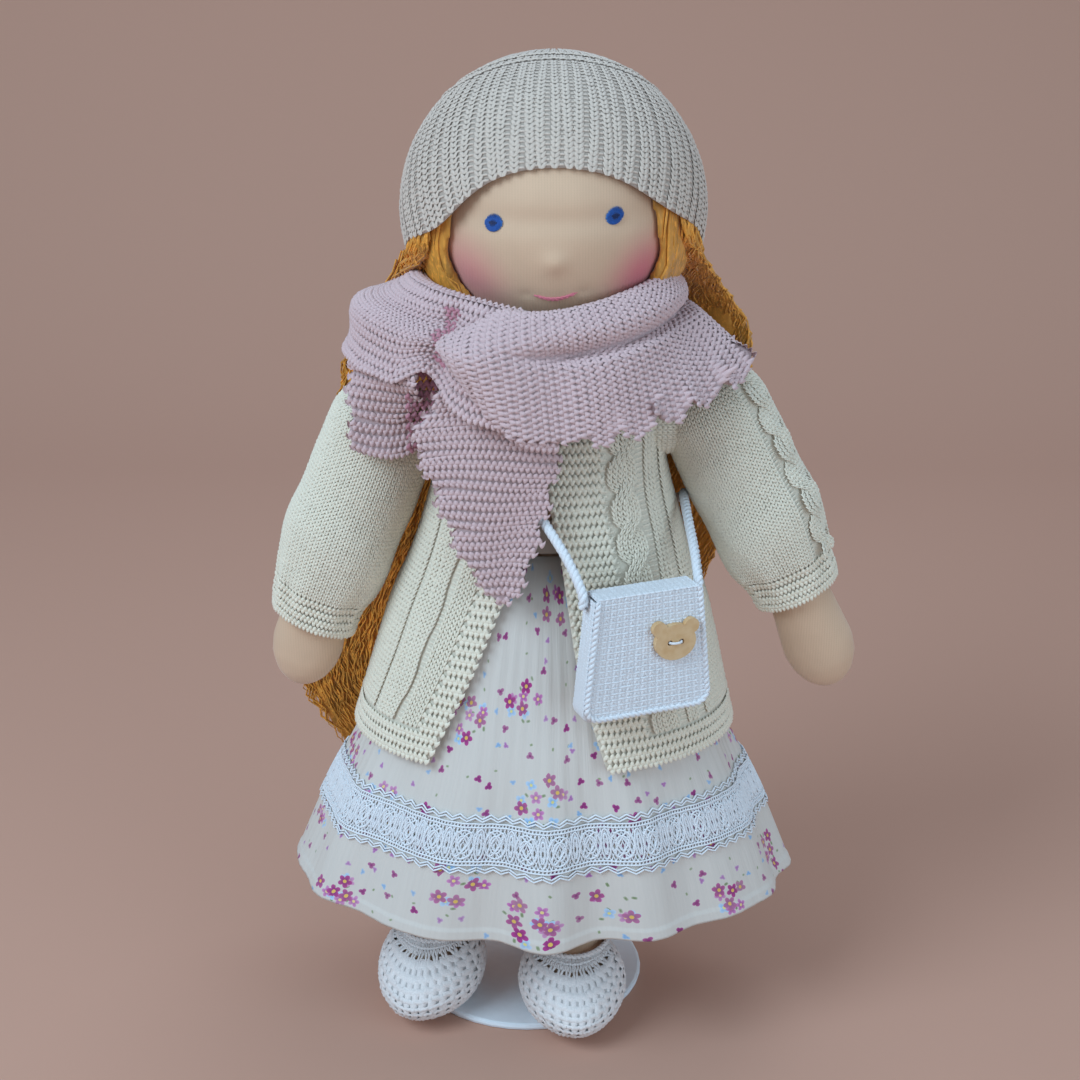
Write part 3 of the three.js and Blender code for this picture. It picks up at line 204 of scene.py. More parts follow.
def maths(tree, operation, *values):
    return add(tree, "Math", dict(enumerate(values)), operation=operation).outputs[0]


def noise(tree, place, scale, detail=2.0):
    return add(tree, "TexNoise", {"Vector": place, "Scale": scale, "Detail": detail}).outputs[0]


def begin(name, **sockets):
    """A new material, its node tree, its shader and the place of each point."""
    made = bpy.data.materials.new(name)
    made.use_nodes = True
    tree = made.node_tree
    tree.nodes.clear()
    shader = add(tree, "BsdfPrincipled", {socket.replace("_", " "): value for socket, value in sockets.items()})
    add(tree, "OutputMaterial", {0: shader.outputs[0]})
    return made, tree, shader, add(tree, "TexCoord").outputs["Object"]


def coat(tree, shader, paint, height, strength, distance):
    """Gives the shader its paint, and a bump whose distance is in millimetres."""
    bump = add(tree, "Bump", {"Height": height, "Strength": strength, "Distance": distance * MM})
    tree.links.new(paint, shader.inputs["Base Color"])
    tree.links.new(bump.outputs[0], shader.inputs["Normal"])


def yarn(name, light, depth=0.8, fibre=0.55, relief=0.5):
    """Spun yarn: matt, with loose fibres that catch light at the rim and a slightly uneven dye."""
    made, tree, shader, place = begin(name, Roughness=0.92, Sheen_Weight=0.3, Sheen_Roughness=0.5)
    fibres = noise(tree, place, 1 / (fibre * MM), 3.0)
    mix = blended(tree, ranged(tree, fibres, 0.32, 0.68), shade(light, depth), shade(light, 1.0))
    mix = blended(tree, ranged(tree, noise(tree, place, 90.0), 0.3, 0.7, 0.0, 0.22), mix, shade(light, depth))
    coat(tree, shader, mix, fibres, relief, 0.3)
    return made


def jersey(tint):
    """Cotton doll jersey: peach, with the fine upright ribs of its knit, painted shade in the grooves between them,
    and soft wax-crayon blush on the cheeks, stronger and darker on the doll's left cheek as painted shade.
    """
    made, tree, shader, place = begin("cotton_jersey", Roughness=0.8, Sheen_Weight=0.25, Sheen_Roughness=0.5)
    rows = add(tree, "SeparateXYZ", {0: place}).outputs
    wave = lambda value, pitch: maths(tree, "SINE", maths(tree, "MULTIPLY", value, 2 * math.pi / (pitch * MM)))
    # the ribs are 1.05 mm apart, a little coarser than the real 0.8 mm so that they show
    ribs = maths(tree, "MULTIPLY", wave(rows[0], 1.05), 0.5)
    weave = maths(tree, "ADD", ribs, maths(tree, "MULTIPLY", wave(rows[2], 0.9), 0.22))
    skin = blended(tree, ranged(tree, noise(tree, place, 45.0), 0.3, 0.7), shade(tint, 1.0), shade(tint, 0.94))
    # painted shade: the grooves between the ribs are coloured darker
    skin = blended(tree, ranged(tree, weave, -0.7, 0.7, 0.15, 0.0), skin, shade(tint, 0.68))
    # the blush at x 47, on the doll's left cheek, is stronger and darker than the other: real blush, with painted
    # shade for the side away from the window
    for spot, rose, reach, amount in (((47.0, -50.0, 322.0), "#cf6272", 25.0, 0.95),
                                      ((-25.0, -50.0, 320.0), "#d4787c", 27.0, 0.85)):
        away = add(tree, "VectorMath", {0: place, 1: Vector(spot) * MM}, operation="DISTANCE").outputs["Value"]
        skin = blended(tree, ranged(tree, away, 2 * MM, reach * MM, amount, 0.0), skin, colour(rose))
    coat(tree, shader, skin, weave, 0.35, 0.12)
    return made


def mohair(name, light, middle, dark):
    """Brushed mohair: golden, with painted shade darker between the locks, and a soft shine along each wave that is a
    painted highlight in lighter streaks.
    """
    made, tree, shader, place = begin(name, Roughness=0.55, Sheen_Weight=0.3, Sheen_Roughness=0.35)
    stretched = add(tree, "Mapping", {"Vector": place, "Scale": (1.0, 1.0, 0.35)}).outputs[0]
    locks, wisps = noise(tree, stretched, 160.0, 3.0), noise(tree, stretched, 900.0)
    # painted shade: the dark tone between the locks
    mix = blended(tree, ranged(tree, locks, 0.34, 0.62), dark, middle)
    # painted highlight: the light tone in streaks along the waves
    mix = blended(tree, ranged(tree, wisps, 0.45, 0.72), mix, light)
    coat(tree, shader, mix, wisps, 0.4, 0.4)
    return made


def plain(name, value, roughness=0.5, metallic=0.0, strength=0.1, dark="#808080", share=0.04):
    """A smooth finish with a faint unevenness, or more of it in a share of a darker tone."""
    made, tree, shader, place = begin(name, Roughness=roughness, Metallic=metallic)
    grain = noise(tree, place, 300.0, 3.0)
    mix = blended(tree, ranged(tree, grain, 0.3, 0.7, 0.0, share), colour(value), colour(dark))
    coat(tree, shader, mix, grain, strength, 0.1)
    return made


# Meshes

def link(name, data):
    """A new object in the scene."""
    made = bpy.data.objects.new(name, data)
    bpy.context.scene.collection.objects.link(made)
    return made


def refinish(data, finish):
    """The mesh with one finish all over."""
    data.materials.clear()
    data.materials.append(finish)


def mesh_piece(name, points, faces, material, uv=None):
    """A piece from points in millimetres and faces."""
    data = bpy.data.meshes.new(name)
    faces = faces if isinstance(faces, list) else faces.tolist()
    data.from_pydata((np.asarray(points, float) * MM).tolist(), [], faces)
    data.polygons.foreach_set("use_smooth", np.ones(len(data.polygons), bool))
    if uv is not None:
        corners = np.zeros(len(data.loops), np.int32)
        data.loops.foreach_get("vertex_index", corners)
        layer = data.uv_layers.new(name="cloth")
        layer.data.foreach_set("uv", np.asarray(uv, np.float32)[corners].ravel())
    data.materials.append(material)
    data.validate()
    data.update()
    return link(name, data)


def settle(piece, body, slot, *nodes):
    """The piece rides on its body and stands for the frame's nodes. The slot is not used."""
    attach(piece, body)
    if nodes:
        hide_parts(*nodes)
    return piece


def quads(rows, columns, wrap=False):
    """Faces of a grid of rows by columns of points, joined round where it wraps."""
    across = columns if wrap else columns - 1
    i, j = np.meshgrid(np.arange(rows - 1), np.arange(across), indexing="ij")
    i, j = i.ravel(), j.ravel()
    k = (j + 1) % columns
    return np.stack([i * columns + j, i * columns + k, (i + 1) * columns + k, (i + 1) * columns + j], 1)


def wall(name, outer, inner, material, wrap=False, uv=None):
    """A closed sheet between two grids of points. Rows run from the bottom up, and columns from left to right."""
    rows, columns = outer.shape[:2]
    count = rows * columns
    front = quads(rows, columns, wrap)
    faces = [front, front[:, ::-1] + count]
    index = np.arange(count).reshape(rows, columns)

    def rim(line, flip, ends):
        made = np.stack([line[:len(ends)], ends, ends + count, line[:len(ends)] + count], 1)
        faces.append(made[:, ::-1] if flip else made)

    for line, flip in ((index[0], True), (index[-1], False)):
        rim(line, flip, np.roll(line, -1) if wrap else line[1:])
    if not wrap:
        for line, flip in ((index[:, 0], False), (index[:, -1], True)):
            rim(line, flip, line[1:])
    points = np.concatenate([outer.reshape(-1, 3), inner.reshape(-1, 3)])
    both = None if uv is None else np.concatenate([uv, uv])
    return mesh_piece(name, points, np.concatenate(faces), material, both)


def softened(node, name, material, voxel=1.6, rounds=10, swell=0.0):
    """A copy of a frame node, closed and rounded as stuffing rounds cloth."""
    copy = link(name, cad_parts[node].data.copy())
    bm = bmesh.new()
    bm.from_mesh(copy.data)
    bmesh.ops.remove_doubles(bm, verts=bm.verts, dist=1e-6)
    bm.to_mesh(copy.data)
    bm.free()
    bpy.ops.object.select_all(action="DESELECT")
    bpy.context.view_layer.objects.active = copy
    copy.select_set(True)
    steps = [("REMESH", {"mode": "VOXEL", "voxel_size": voxel * MM}), ("SMOOTH", {"iterations": rounds})]
    if swell:
        steps.append(("DISPLACE", {"strength": swell * MM, "mid_level": 0.0}))
    for kind, settings in steps:
        modifier = copy.modifiers.new(kind.lower(), kind)
        for setting, value in settings.items():
            setattr(modifier, setting, value)
    for modifier in list(copy.modifiers):
        bpy.ops.object.modifier_apply(modifier=modifier.name)
    refinish(copy.data, material)
    copy.data.polygons.foreach_set("use_smooth", np.ones(len(copy.data.polygons), bool))
    return copy


def strand_tubes(lines, radii, sides=3, tapered=True):
    """Points and faces of thin tubes along many lines, all with the same number of points."""
    lines = np.asarray(lines, float)
    count, steps = lines.shape[:2]
    ahead = unit(np.gradient(lines, axis=1))
    side = unit(np.cross(ahead, np.array([0.13, 0.98, 0.11])))
    ring = circle(sides)[None, None, :, None]
    taper = np.ones(steps)
    if tapered:
        taper[-len(TAPER):] = TAPER
    reach = np.asarray(radii, float).reshape(-1, 1, 1, 1) * taper[None, :, None, None]
    side, other = side[:, :, None], np.cross(ahead, side)[:, :, None]
    points = lines[:, :, None] + reach * (np.cos(ring) * side + np.sin(ring) * other)
    faces = np.arange(count)[:, None, None] * steps * sides + quads(steps, sides, True)[None]
    return points.reshape(-1, 3), faces.reshape(-1, 4)


def twisted(route, strands, reach, radius, turn_length, sides=6):
    """Points and faces of a cord of strands twisted round a route."""
    ahead = unit(np.gradient(route, axis=0))
    side = unit(np.cross(ahead, np.array([0.2, 0.1, 0.97])))
    other = np.cross(ahead, side)
    lines = []
    for strand in range(strands):
        angle = ((far_along(route) / turn_length + strand / strands) * 2 * math.pi)[:, None]
        lines.append(route + reach * (np.cos(angle) * side + np.sin(angle) * other))
    return strand_tubes(lines, [radius] * strands, sides)


def smooth_line(points, count, angular=False):
    """A line through points, smooth or angular, with count points spread evenly along it."""
    line = points
    if not angular:
        padded = np.concatenate([[2 * points[0] - points[1]], points, [2 * points[-1] - points[-2]]])
        t = np.linspace(0, len(points) - 1 - 1e-6, count * 3)
        i = t.astype(int)
        f = (t - i)[:, None]
        a, b, c, d = (padded[i + step] for step in range(4))
        line = 0.5 * (2 * b + (c - a) * f + (2 * a - 5 * b + 4 * c - d) * f ** 2 + (3 * b - a - 3 * c + d) * f ** 3)
    far = far_along(line)
    return np.stack([np.interp(np.linspace(0, far[-1], count), far, line[:, axis]) for axis in range(3)], 1)


# Stitches. A stitch is a few short open tubes in its own small square: a across it, b up it and c out of the cloth.

def stitch(paths):
    """Points and faces of one stitch. Each path is its rings [a, b, c, half width, height] and its sideways
    direction."""
    points, faces = [], []
    for rings, side in paths:
        first = len(points)
        ahead = np.array(rings[-1][:2]) - np.array(rings[0][:2])
        turned = side[0] * ahead[1] - side[1] * ahead[0] > 0
        for a, b, c, width, height in rings:
            for angle in (180, 122, 58, 0):
                reach = math.cos(math.radians(angle)) * width
                points.append([a + side[0] * reach, b + side[1] * reach, c + math.sin(math.radians(angle)) * height])
        for ring in range(len(rings) - 1):
            for step in range(3):
                p = first + ring * 4 + step
                face = [p, p + 1, p + 5, p + 4]
                faces.append(face if turned else face[::-1])
    return np.array(points), np.array(faces)


def mirrored(rings):
    return [[-a, b, c, width, height] for a, b, c, width, height in rings]


LEG = [[0.1, -0.62, 0.05, 0.16, 0.3], [0.22, -0.02, 0.2, 0.25, 0.52], [0.36, 0.62, -0.42, 0.16, 0.3]]
KNIT = stitch([(LEG, (1, 0.25)), (mirrored(LEG), (1, -0.25))])
ARC = [[-0.55, -0.12, -0.45, 0.19, 0.3], [-0.26, 0.12, 0.0, 0.26, 0.45], [0, 0.21, 0.2, 0.28, 0.55],
       [0.26, 0.12, 0.0, 0.26, 0.45], [0.55, -0.12, -0.45, 0.19, 0.3]]
DIP = [[a + 0.5, -b - 0.14, c - 0.1, width, height] for a, b, c, width, height in ARC]
GARTER = stitch([(ARC, (0, 1)), (DIP, (0, 1))])
BAR = [[-0.55, 0, -0.3, 0.2, 0.3], [-0.2, 0.06, 0.0, 0.24, 0.42], [0.2, 0.06, 0.0, 0.24, 0.42],
       [0.55, 0, -0.3, 0.2, 0.3]]
PURL = stitch([(BAR, (0, 1))])
CROSS = [[-0.34, -0.5, -0.3, 0.16, 0.3], [-0.2, 0.0, 0.12, 0.24, 0.5], [-0.05, 0.42, -0.2, 0.2, 0.4]]
CHAIN = [[-0.5, 0.42, -0.1, 0.16, 0.3], [0, 0.46, 0.16, 0.2, 0.45], [0.5, 0.42, -0.1, 0.16, 0.3]]
POST = [[-0.5, -0.5, -0.1, 0.38, 0.3], [-0.46, 0.0, 0.1, 0.36, 0.42], [-0.5, 0.5, -0.1, 0.38, 0.3]]
ROUND = [[-0.5, 0.5, 0.0, 0.38, 0.3], [-0.25, 0.56, 0.14, 0.34, 0.4], [0, 0.5, 0.0, 0.37, 0.3],
         [0.25, 0.44, 0.14, 0.34, 0.4], [0.5, 0.5, 0.0, 0.38, 0.3]]
OPENWORK = stitch([(POST, (1, 0)), (ROUND, (0, 1))])
CROCHET = stitch([(CROSS, (1, 0.2)), (mirrored(CROSS), (1, -0.2)), (CHAIN, (0, 1))])


def lay(name, material, groups):
    """One piece of cloth from groups of stitches: (stitch, middles, across, along, out)."""
    points, faces, count = [], [], 0
    for (shape, sides), middle, across, along, out in groups:
        n = len(middle)
        if not n:
            continue
        wobble = 1 + RNG.normal(0, 0.035, (n, 1))
        lift = RNG.normal(0, 0.05, (n, 1))
        slant = RNG.normal(0, 0.035, (n, 1))
        axes = np.stack([across * wobble + along * slant, along * wobble - across * slant, out], 1)
        points.append(((middle + out * lift)[:, None] + shape @ axes).reshape(-1, 3))
        faces.append((np.arange(n)[:, None, None] * len(shape) + sides[None] + count).reshape(-1, 4))
        count += n * len(shape)
    return mesh_piece(name, np.concatenate(points), np.concatenate(faces), material)


def frames(surface, u, v, width, height, thick=1.0, lift=0.0):
    """Where stitches lie on a surface at (u, v): their middles, and how far they reach across, along and out.
    v runs up the cloth, and u to the right as it is seen from outside."""
    middle = surface(u, v)
    across = unit(surface(u + STEP, v) - surface(u - STEP, v))
    along = unit(surface(u, v + STEP) - surface(u, v - STEP))
    out = unit(np.cross(across, along))
    across = np.cross(along, out)
    width, height = np.reshape(width, (-1, 1)), np.reshape(height, (-1, 1))
    return middle + out * np.reshape(lift, (-1, 1)), across * width, along * height, out * thick


def sew(stitch, surface, u, v, width, height, thick=1.0, lift=0.0, where=slice(None)):
    """A group of like stitches on a surface at (u, v), or at those that where picks."""
    u, v, width, height, lift = (part[where] if np.ndim(part) else part for part in (u, v, width, height, lift))
    return stitch, *frames(surface, u, v, width, height, thick, lift)


def offset(surface, u, v, lift):
    """A grid of points on a surface, lifted off it."""
    return frames(surface, u.ravel(), v.ravel(), 1, 1, 1, lift)[0].reshape(*u.shape, 3)


def spacing(surface, u, v, count):
    """How far apart count equal steps of u are on a surface."""
    return np.linalg.norm(surface(u + STEP, v) - surface(u - STEP, v), axis=-1) / (2 * STEP) / count


def height_of(surface, u, v, share):
    """How tall a share of v is on a surface."""
    return np.linalg.norm(surface(u, v + STEP) - surface(u, v - STEP), axis=-1) / (2 * STEP) * share


def along_line(surface, u, v, pitch):
    """Places pitch apart along the line through the points (u, v) of a surface."""
    far = far_along(surface(u, v))
    places = np.arange(0.5, far[-1] / pitch) * pitch
    return np.interp(places, far, u), np.interp(places, far, v)


def in_rows(surface, line, rows):
    """Places one stitch apart along each of a surface's rows, from the top down."""
    return np.concatenate([along_line(surface, line, np.full(len(line), -(row + 0.5) / rows), STITCH)
                           for row in range(rows)], 1)


def cabled(surface, u, v, width, tall, strand, row, sway, depth):
    """A cable's two strands, 1 and -1, which cross every CABLE_ROWS rows. sway is how far a strand moves sideways,
    and depth how far in front of the other it passes."""
    phase = 2 * math.pi * row / CABLE_ROWS
    c, s = np.cos(phase), np.sin(phase)
    middle, across, along, out = frames(surface, u, v, width * 1.04, tall, 1.05, strand * s * depth - 0.25)
    push = unit(across) * (strand * sway)[:, None]
    place, slope = c * (1.5 - 0.5 * c * c), 1.5 * s ** 3 * 2 * math.pi / CABLE_ROWS
    return KNIT, middle + push * (1 - place)[:, None], across, along + push * slope[:, None], out


# Surfaces

def head_surface(turn, rise, lift=0.0):
    """turn is the angle from the front, rise the angle above the middle."""
    direction = np.stack([np.cos(rise) * np.sin(turn), -np.cos(rise) * np.cos(turn), np.sin(rise)], -1)
    front = np.maximum(-direction[..., 1], 0)
    off = (direction[..., 2] - 0.09) / 0.1
    hollow = 1 - 0.03 * front ** 2 * np.exp(-off ** 2)
    point = HEAD + direction * (HEAD_HALF * hollow[..., None] + lift)
    nose = np.exp(-(((point[..., 0] - 10.8) / 4.4) ** 2 + ((point[..., 2] - 332) / 3.9) ** 2)) * (front > 0)
    chin = np.exp(-(((point[..., 0] - 11) / 13) ** 2 + ((point[..., 2] - 309) / 6) ** 2)) * (front > 0)
    corners = sum(np.exp(-(((point[..., 0] - x) / 1.7) ** 2 + ((point[..., 2] - z) / 1.5) ** 2))
                  for x, z in ((0.6, 319.4), (21.4, 320.6))) * (front > 0)
    point[..., 1] -= 1.9 * nose + 0.6 * chin - 0.7 * corners
    return point


def hat_surface(turn, up, radius=HAT_RADIUS):
    """turn is the angle from the front. up is 0 at the brim and 1 at the top."""
    ahead = (turn + math.pi) % (2 * math.pi) - math.pi
    side = np.clip(np.abs(ahead) / (math.pi / 2), 0, 1)
    ease = side * side * (3 - 2 * side)
    down = 1 - up
    dip = 0.15 * np.exp(-((ahead + 0.95) / 0.4) ** 2) + 0.06 * np.exp(-((ahead - 0.85) / 0.35) ** 2)
    polar = (BRIM_FRONT + (BRIM_SIDE - BRIM_FRONT) * ease + dip) * down
    reach = radius - HAT_TUCK * (1 - ease) * down ** 2
    x, y, z = np.sin(polar) * np.sin(turn) * reach, -np.sin(polar) * np.cos(turn) * reach, np.cos(polar) * reach
    c, s = math.cos(HAT_TILT), math.sin(HAT_TILT)
    return HAT + np.stack([x, y * c + z * s, z * c - y * s], -1)


def cardigan_surface(turn, down, lift=0.0):
    """turn is the angle from the front, and down runs from the neck, 0, to the hem, 1."""
    width = CARDIGAN_WIDE * follow(CARDIGAN_WIDTH, down) + lift
    depth = CARDIGAN_DEEP * follow(CARDIGAN_DEPTH, down) + lift
    return np.stack([CARDIGAN_WIDE * follow(CARDIGAN_MIDDLE, down) + np.sin(turn) * width,
                     BODY_Y - np.cos(turn) * depth,
                     CARDIGAN_TOP + (CARDIGAN_BOTTOM - CARDIGAN_TOP) * down + 0 * turn], -1)


def sleeve_surface(side, turn, along, lift=0.0):
    """turn goes round from the arm's outer side, towards the front. along is in millimetres from the shoulder."""
    lean, hand = LEANS[side]
    outward = OUTWARD[side]
    ahead = lambda angle: np.array([outward * math.sin(angle), 0, -math.cos(angle)])
    straight, past = np.minimum(along, WRIST), np.maximum(along - WRIST, 0)
    middle = SHOULDERS[side] + straight[..., None] * ahead(lean) + past[..., None] * ahead(hand)
    sideways = np.array([outward * math.cos(lean), 0, math.sin(lean)])
    share = along / SLEEVE_LENGTHS[side]
    ball = np.sqrt(np.maximum(SLEEVE_RADIUS ** 2 - np.minimum(along, 0) ** 2, 0))
    slack = 0.7 * np.sin(along / 7 + 2 * np.sin(turn + 0.7)) * smooth(0.15, 0.5, share) * (1 - smooth(0.85, 1, share))
    gathers = 0.45 * np.sin(11 * turn + 2 * np.sin(2 * turn)) * smooth(0.6, 0.85, share) * (1 - smooth(0.9, 1, share))
    tube = SLEEVE_RADIUS * follow(SLEEVE_WIDTH, np.clip(share, 0, 1)) + slack + gathers
    reach = (np.where(along < 0, ball, tube) + lift)[..., None]
    return middle + reach * (np.cos(turn)[..., None] * sideways + np.sin(turn)[..., None] * np.array([0, -1, 0]))


def skirt_surface(turn, down, lift=0.0):
    """turn is the angle from the front, and down runs from the waist, 0, to the hem, 1."""
    width = SKIRT_WIDE * follow(SKIRT_WIDTH, down)
    depth = SKIRT_DEEP * follow(SKIRT_DEPTH, down)
    wave = 0.5 - 0.5 * np.cos(12 * turn + np.sin(3 * turn))
    fold = 6 * follow(SKIRT_FOLDS, down) * wave
    crinkle = 0.15 * np.sin(74 * turn + 2 * np.sin(5 * turn)) * smooth(0, 0.3, down) * (1 - 0.5 * smooth(0.6, 1, down))
    folds = 1.7 * (np.sin(9 * turn + 1.3) - 0.3) * down ** 3 + 0.9 * (np.sin(17 * turn + 0.4) - 0.4) * down ** 2
    hem = 0.45 * smooth(0.966, 0.972, down)
    out = lift + crinkle + folds + hem - fold
    rise = 8 * np.sin(turn) ** 2 * (0.7 - 0.3 * np.sin(turn)) * down
    x = BODY_X + (SKIRT_X - BODY_X) * down
    return np.stack([x + np.sin(turn) * (width + out), BODY_Y - np.cos(turn) * (depth + out),
                     WAIST + (HEM + rise - WAIST) * down], -1)


def scallop(place):
    """Rounded teeth, one at each whole number, with sharp notches half way between."""
    return 2 * np.abs(np.cos(math.pi * place)) ** 0.7 - 1


def shawl_surface(angle, share):
    """angle is from the front, and share runs from the rolled top edge, 0, to the toothed hem, 1."""
    turn = (angle / math.pi + 1) % 2 - 1
    at = lambda table: SHAWL_REACH * follow(table, turn)
    top, hem = (SHAWL_TOP - SHAWL_DROP * follow(table, turn) for table in (SHAWL_TOP_DROP, SHAWL_HEM_DROP))
    near, far, puff = at(SHAWL_TOP_REACH), at(SHAWL_HEM_REACH), at(SHAWL_PUFF)
    corners = np.stack([np.stack(np.broadcast_arrays(reach, z), -1) for reach, z in (
        (near - 5, top - 2.5), (near, top), (near + 5, top - 5), ((near + far) / 2 + puff, (top + hem) / 2 + puff / 2),
        (far, hem))], -2)
    places = np.array([0, 0.1, 0.22, 0.62, 1.0])
    slopes = np.gradient(corners, places, axis=-2)
    row = np.clip(np.searchsorted(places, share, side="right") - 1, 0, 3)
    pick = lambda values, step: np.take_along_axis(values, (row + step)[..., None, None], -2)[..., 0, :]
    run = np.diff(places)[row][..., None]
    t = ((share - places[row]) / run[..., 0])[..., None]
    a, b = pick(corners, 0), pick(corners, 1)
    point = (a + (b - a) * t * t * (3 - 2 * t) + run * t * (1 - t) * (pick(slopes, 0) * (1 - t) - pick(slopes, 1) * t))
    rolled = smooth(-0.12, 0.08, turn) * (1 - smooth(0.5, 0.62, turn))
    bulge = rolled * (3.0 * np.exp(-((share - 0.24) / 0.13) ** 2) - 4.6 * np.exp(-((share - 0.47) / 0.06) ** 2))
    loop = smooth(-0.75, -0.5, turn) * (1 - smooth(-0.16, -0.06, turn))
    bulge = bulge + loop * (1.6 + 0.9 * np.sin(15 * share + 5 * turn)) + 0.5 * np.sin(6 * angle + 8 * share)
    teeth = scallop(SHAWL_TEETH * angle / (2 * math.pi) + 0.5)
    tooth = -3.0 * follow(SHAWL_TOOTH, turn) * teeth * smooth(0.8, 1, share)
    reach = point[..., 0] + bulge
    return np.stack([SHAWL_X + np.sin(angle) * reach, SHAWL_Y - np.cos(angle) * reach,
                     point[..., 1] + 0.4 * bulge + tooth], -1)


def loop_surface(angle, share):
    """The shawl's lower layer: creased beside the knot, and notched under it."""
    point = shawl_surface(angle, share)
    crease = np.exp(-((angle - WRAP_END + 0.02) / 0.09) ** 2) * smooth(0.1, 0.35, share)
    notch = np.exp(-((angle + 0.77) / 0.12) ** 2) * smooth(0.55, 1, share)
    inward = 3.4 * crease + 3.0 * notch
    point[..., 0] -= np.sin(angle) * inward
    point[..., 1] += np.cos(angle) * inward
    point[..., 2] += 8.0 * notch
    return point


def wrap_end(angle, share):
    """The shawl's upper layer where it narrows to a rounded end over the knot, in front of the loop."""
    e = np.clip((angle - WRAP_END) / 0.55, 0, 1)
    tall = np.sqrt(np.maximum(1 - (1 - e) ** 2, 0.0)) * (0.62 + 0.38 * e)
    point = shawl_surface(angle, 0.56 + (share - 0.56) * tall)
    nose = np.sqrt(np.clip(e / 0.4, 0, 1))
    rim = 1 - (0.85 - 0.35 * smooth(0.3, 1, e)) * np.abs(2 * share - 1) ** 3
    lift = 8.6 * nose * (1 - smooth(-0.42, 0.12, angle)) * rim - 1.5 * (1 - nose)
    point[..., 0] += np.sin(angle) * lift
    point[..., 1] -= np.cos(angle) * lift
    return point


def tail_surface(across, down):
    """The shawl's front tail. across is from -1 to 1, and down from the top, 0, to the tip, 1."""
    lobe = scallop(5.5 * down)
    x = (8 + 26 * follow(TAIL_MIDDLE, down) + across * 26 * follow(TAIL_WIDTH, down)
         + 2.2 * lobe * across * np.abs(across))
    y = -71.6 - 0.9 * np.sin(2.6 * across + 5 * down) + 1.2 * across ** 2
    wave = 0.9 * np.sin(2.4 * across + 8 * down) * np.sin(math.pi * down)
    return np.stack([x, y, 288 - 85 * down - 2.2 * across ** 2 * (1 - down) + wave], -1)


def side_tail_surface(across, down):
    """The shawl's side tail, which hangs from the loop over the doll's right arm."""
    x = -53.6 + 12.6 * across * (1 - 0.12 * down) + 1.6 * scallop(2.2 * down + 0.2) * across
    y = -48.6 + 0.5 * np.sin(3 * across + 4 * down) - (6.5 + 11 * across) * (1 - smooth(0, 0.75, down))
    return np.stack([x, y, 291.5 - 34.5 * down - 3.4 * (1 - across ** 2) * down], -1)


def hair_surface(off, down, through):
    """The hair's long fall. off runs from the doll's right edge, -1, to its left, 1. through is 0 in front."""
    edge = np.where(off > 0, follow(HAIR_LEFT, down), follow(HAIR_RIGHT, down))
    top, bottom = 300 + 25 * np.abs(off), 80 + 60 * (off + 1) / 2
    middle, side = 50 * follow(HAIR_BACK, down), 50 * follow(HAIR_SIDE, down)
    thick = 9 * (1 - 0.4 * np.abs(off) - 0.2 * down)
    return np.stack([9 + off * 90 * edge, middle + (side - middle) * off ** 2 + through * thick,
                     top + (bottom - top) * down], -1)


def foot_point(side, turn, rise, inset):
    """turn is the angle from the toe, and rise the angle above the slipper's middle."""
    x, y, angle = FEET[side]
    right, up, back = np.cos(rise) * np.sin(turn), np.sin(rise), -np.cos(rise) * np.cos(turn)
    toe = np.maximum(-back, 0)
    across, behind = right * (22.5 - inset) * (1 - 0.2 * toe ** 2), back * (31 - inset)
    height = np.maximum((up + 0.8) / 1.8, 0) * (1 - 0.3 * toe)
    c, s = math.cos(angle), math.sin(angle)
    return np.stack([x + across * c - behind * s, y + across * s + behind * c,
                     3.3 + inset + height * (36 - 2 * inset)], -1)


def mouth_rise(turn):
    """How far up the slipper goes at each angle, to the edge of its mouth."""
    rise = np.linspace(0, math.pi / 2, 200)[:, None]
    right, back = np.cos(rise) * np.sin(turn), -np.cos(rise) * np.cos(turn)
    across = right * 22.5 * (1 - 0.2 * np.maximum(-back, 0) ** 2)
    inside = (across / 15.5) ** 2 + ((back * 31 - 9) / 17.5) ** 2 < 1
    return rise[np.argmax(inside, axis=0), 0]


MOUTH_TURNS = np.linspace(-math.pi, math.pi, 361)
MOUTH_RISES = mouth_rise(MOUTH_TURNS)


def shoe_surface(side, turn, share, inset=0.0):
    """share runs from the sole's edge, 0, to the mouth, 1."""
    top = np.interp((turn + math.pi) % (2 * math.pi) - math.pi, MOUTH_TURNS, MOUTH_RISES)
    return foot_point(side, turn, -0.9 + (top + 0.9) * share, inset)


# The stage

def tint(name, value):
    return bpy.props.FloatVectorProperty(name=name, description=f"Colour of the {name.lower()}", subtype="COLOR",
                                         size=4, min=0, max=1, default=colour(value))


class DollSettings(bpy.types.PropertyGroup):
    backdrop: tint("Backdrop", "#c49783")
    skin: tint("Skin", "#dab697")
    hair: tint("Hair", "#e8a040")
    hat: tint("Hat wool", "#d8c5b6")
    shawl: tint("Shawl wool", "#dabbbb")
    cardigan: tint("Cardigan wool", "#f2e6d1")
    dress: tint("Dress cotton", "#d6cdc4")
    flowers: tint("Flowers", "#b5398a")
    cotton: tint("White cotton", "#edeef2")
    slippers: tint("Slipper cotton", "#f1e9e6")
    light: bpy.props.FloatProperty(name="Light", description="Strength of the window light", default=1.0, min=0)


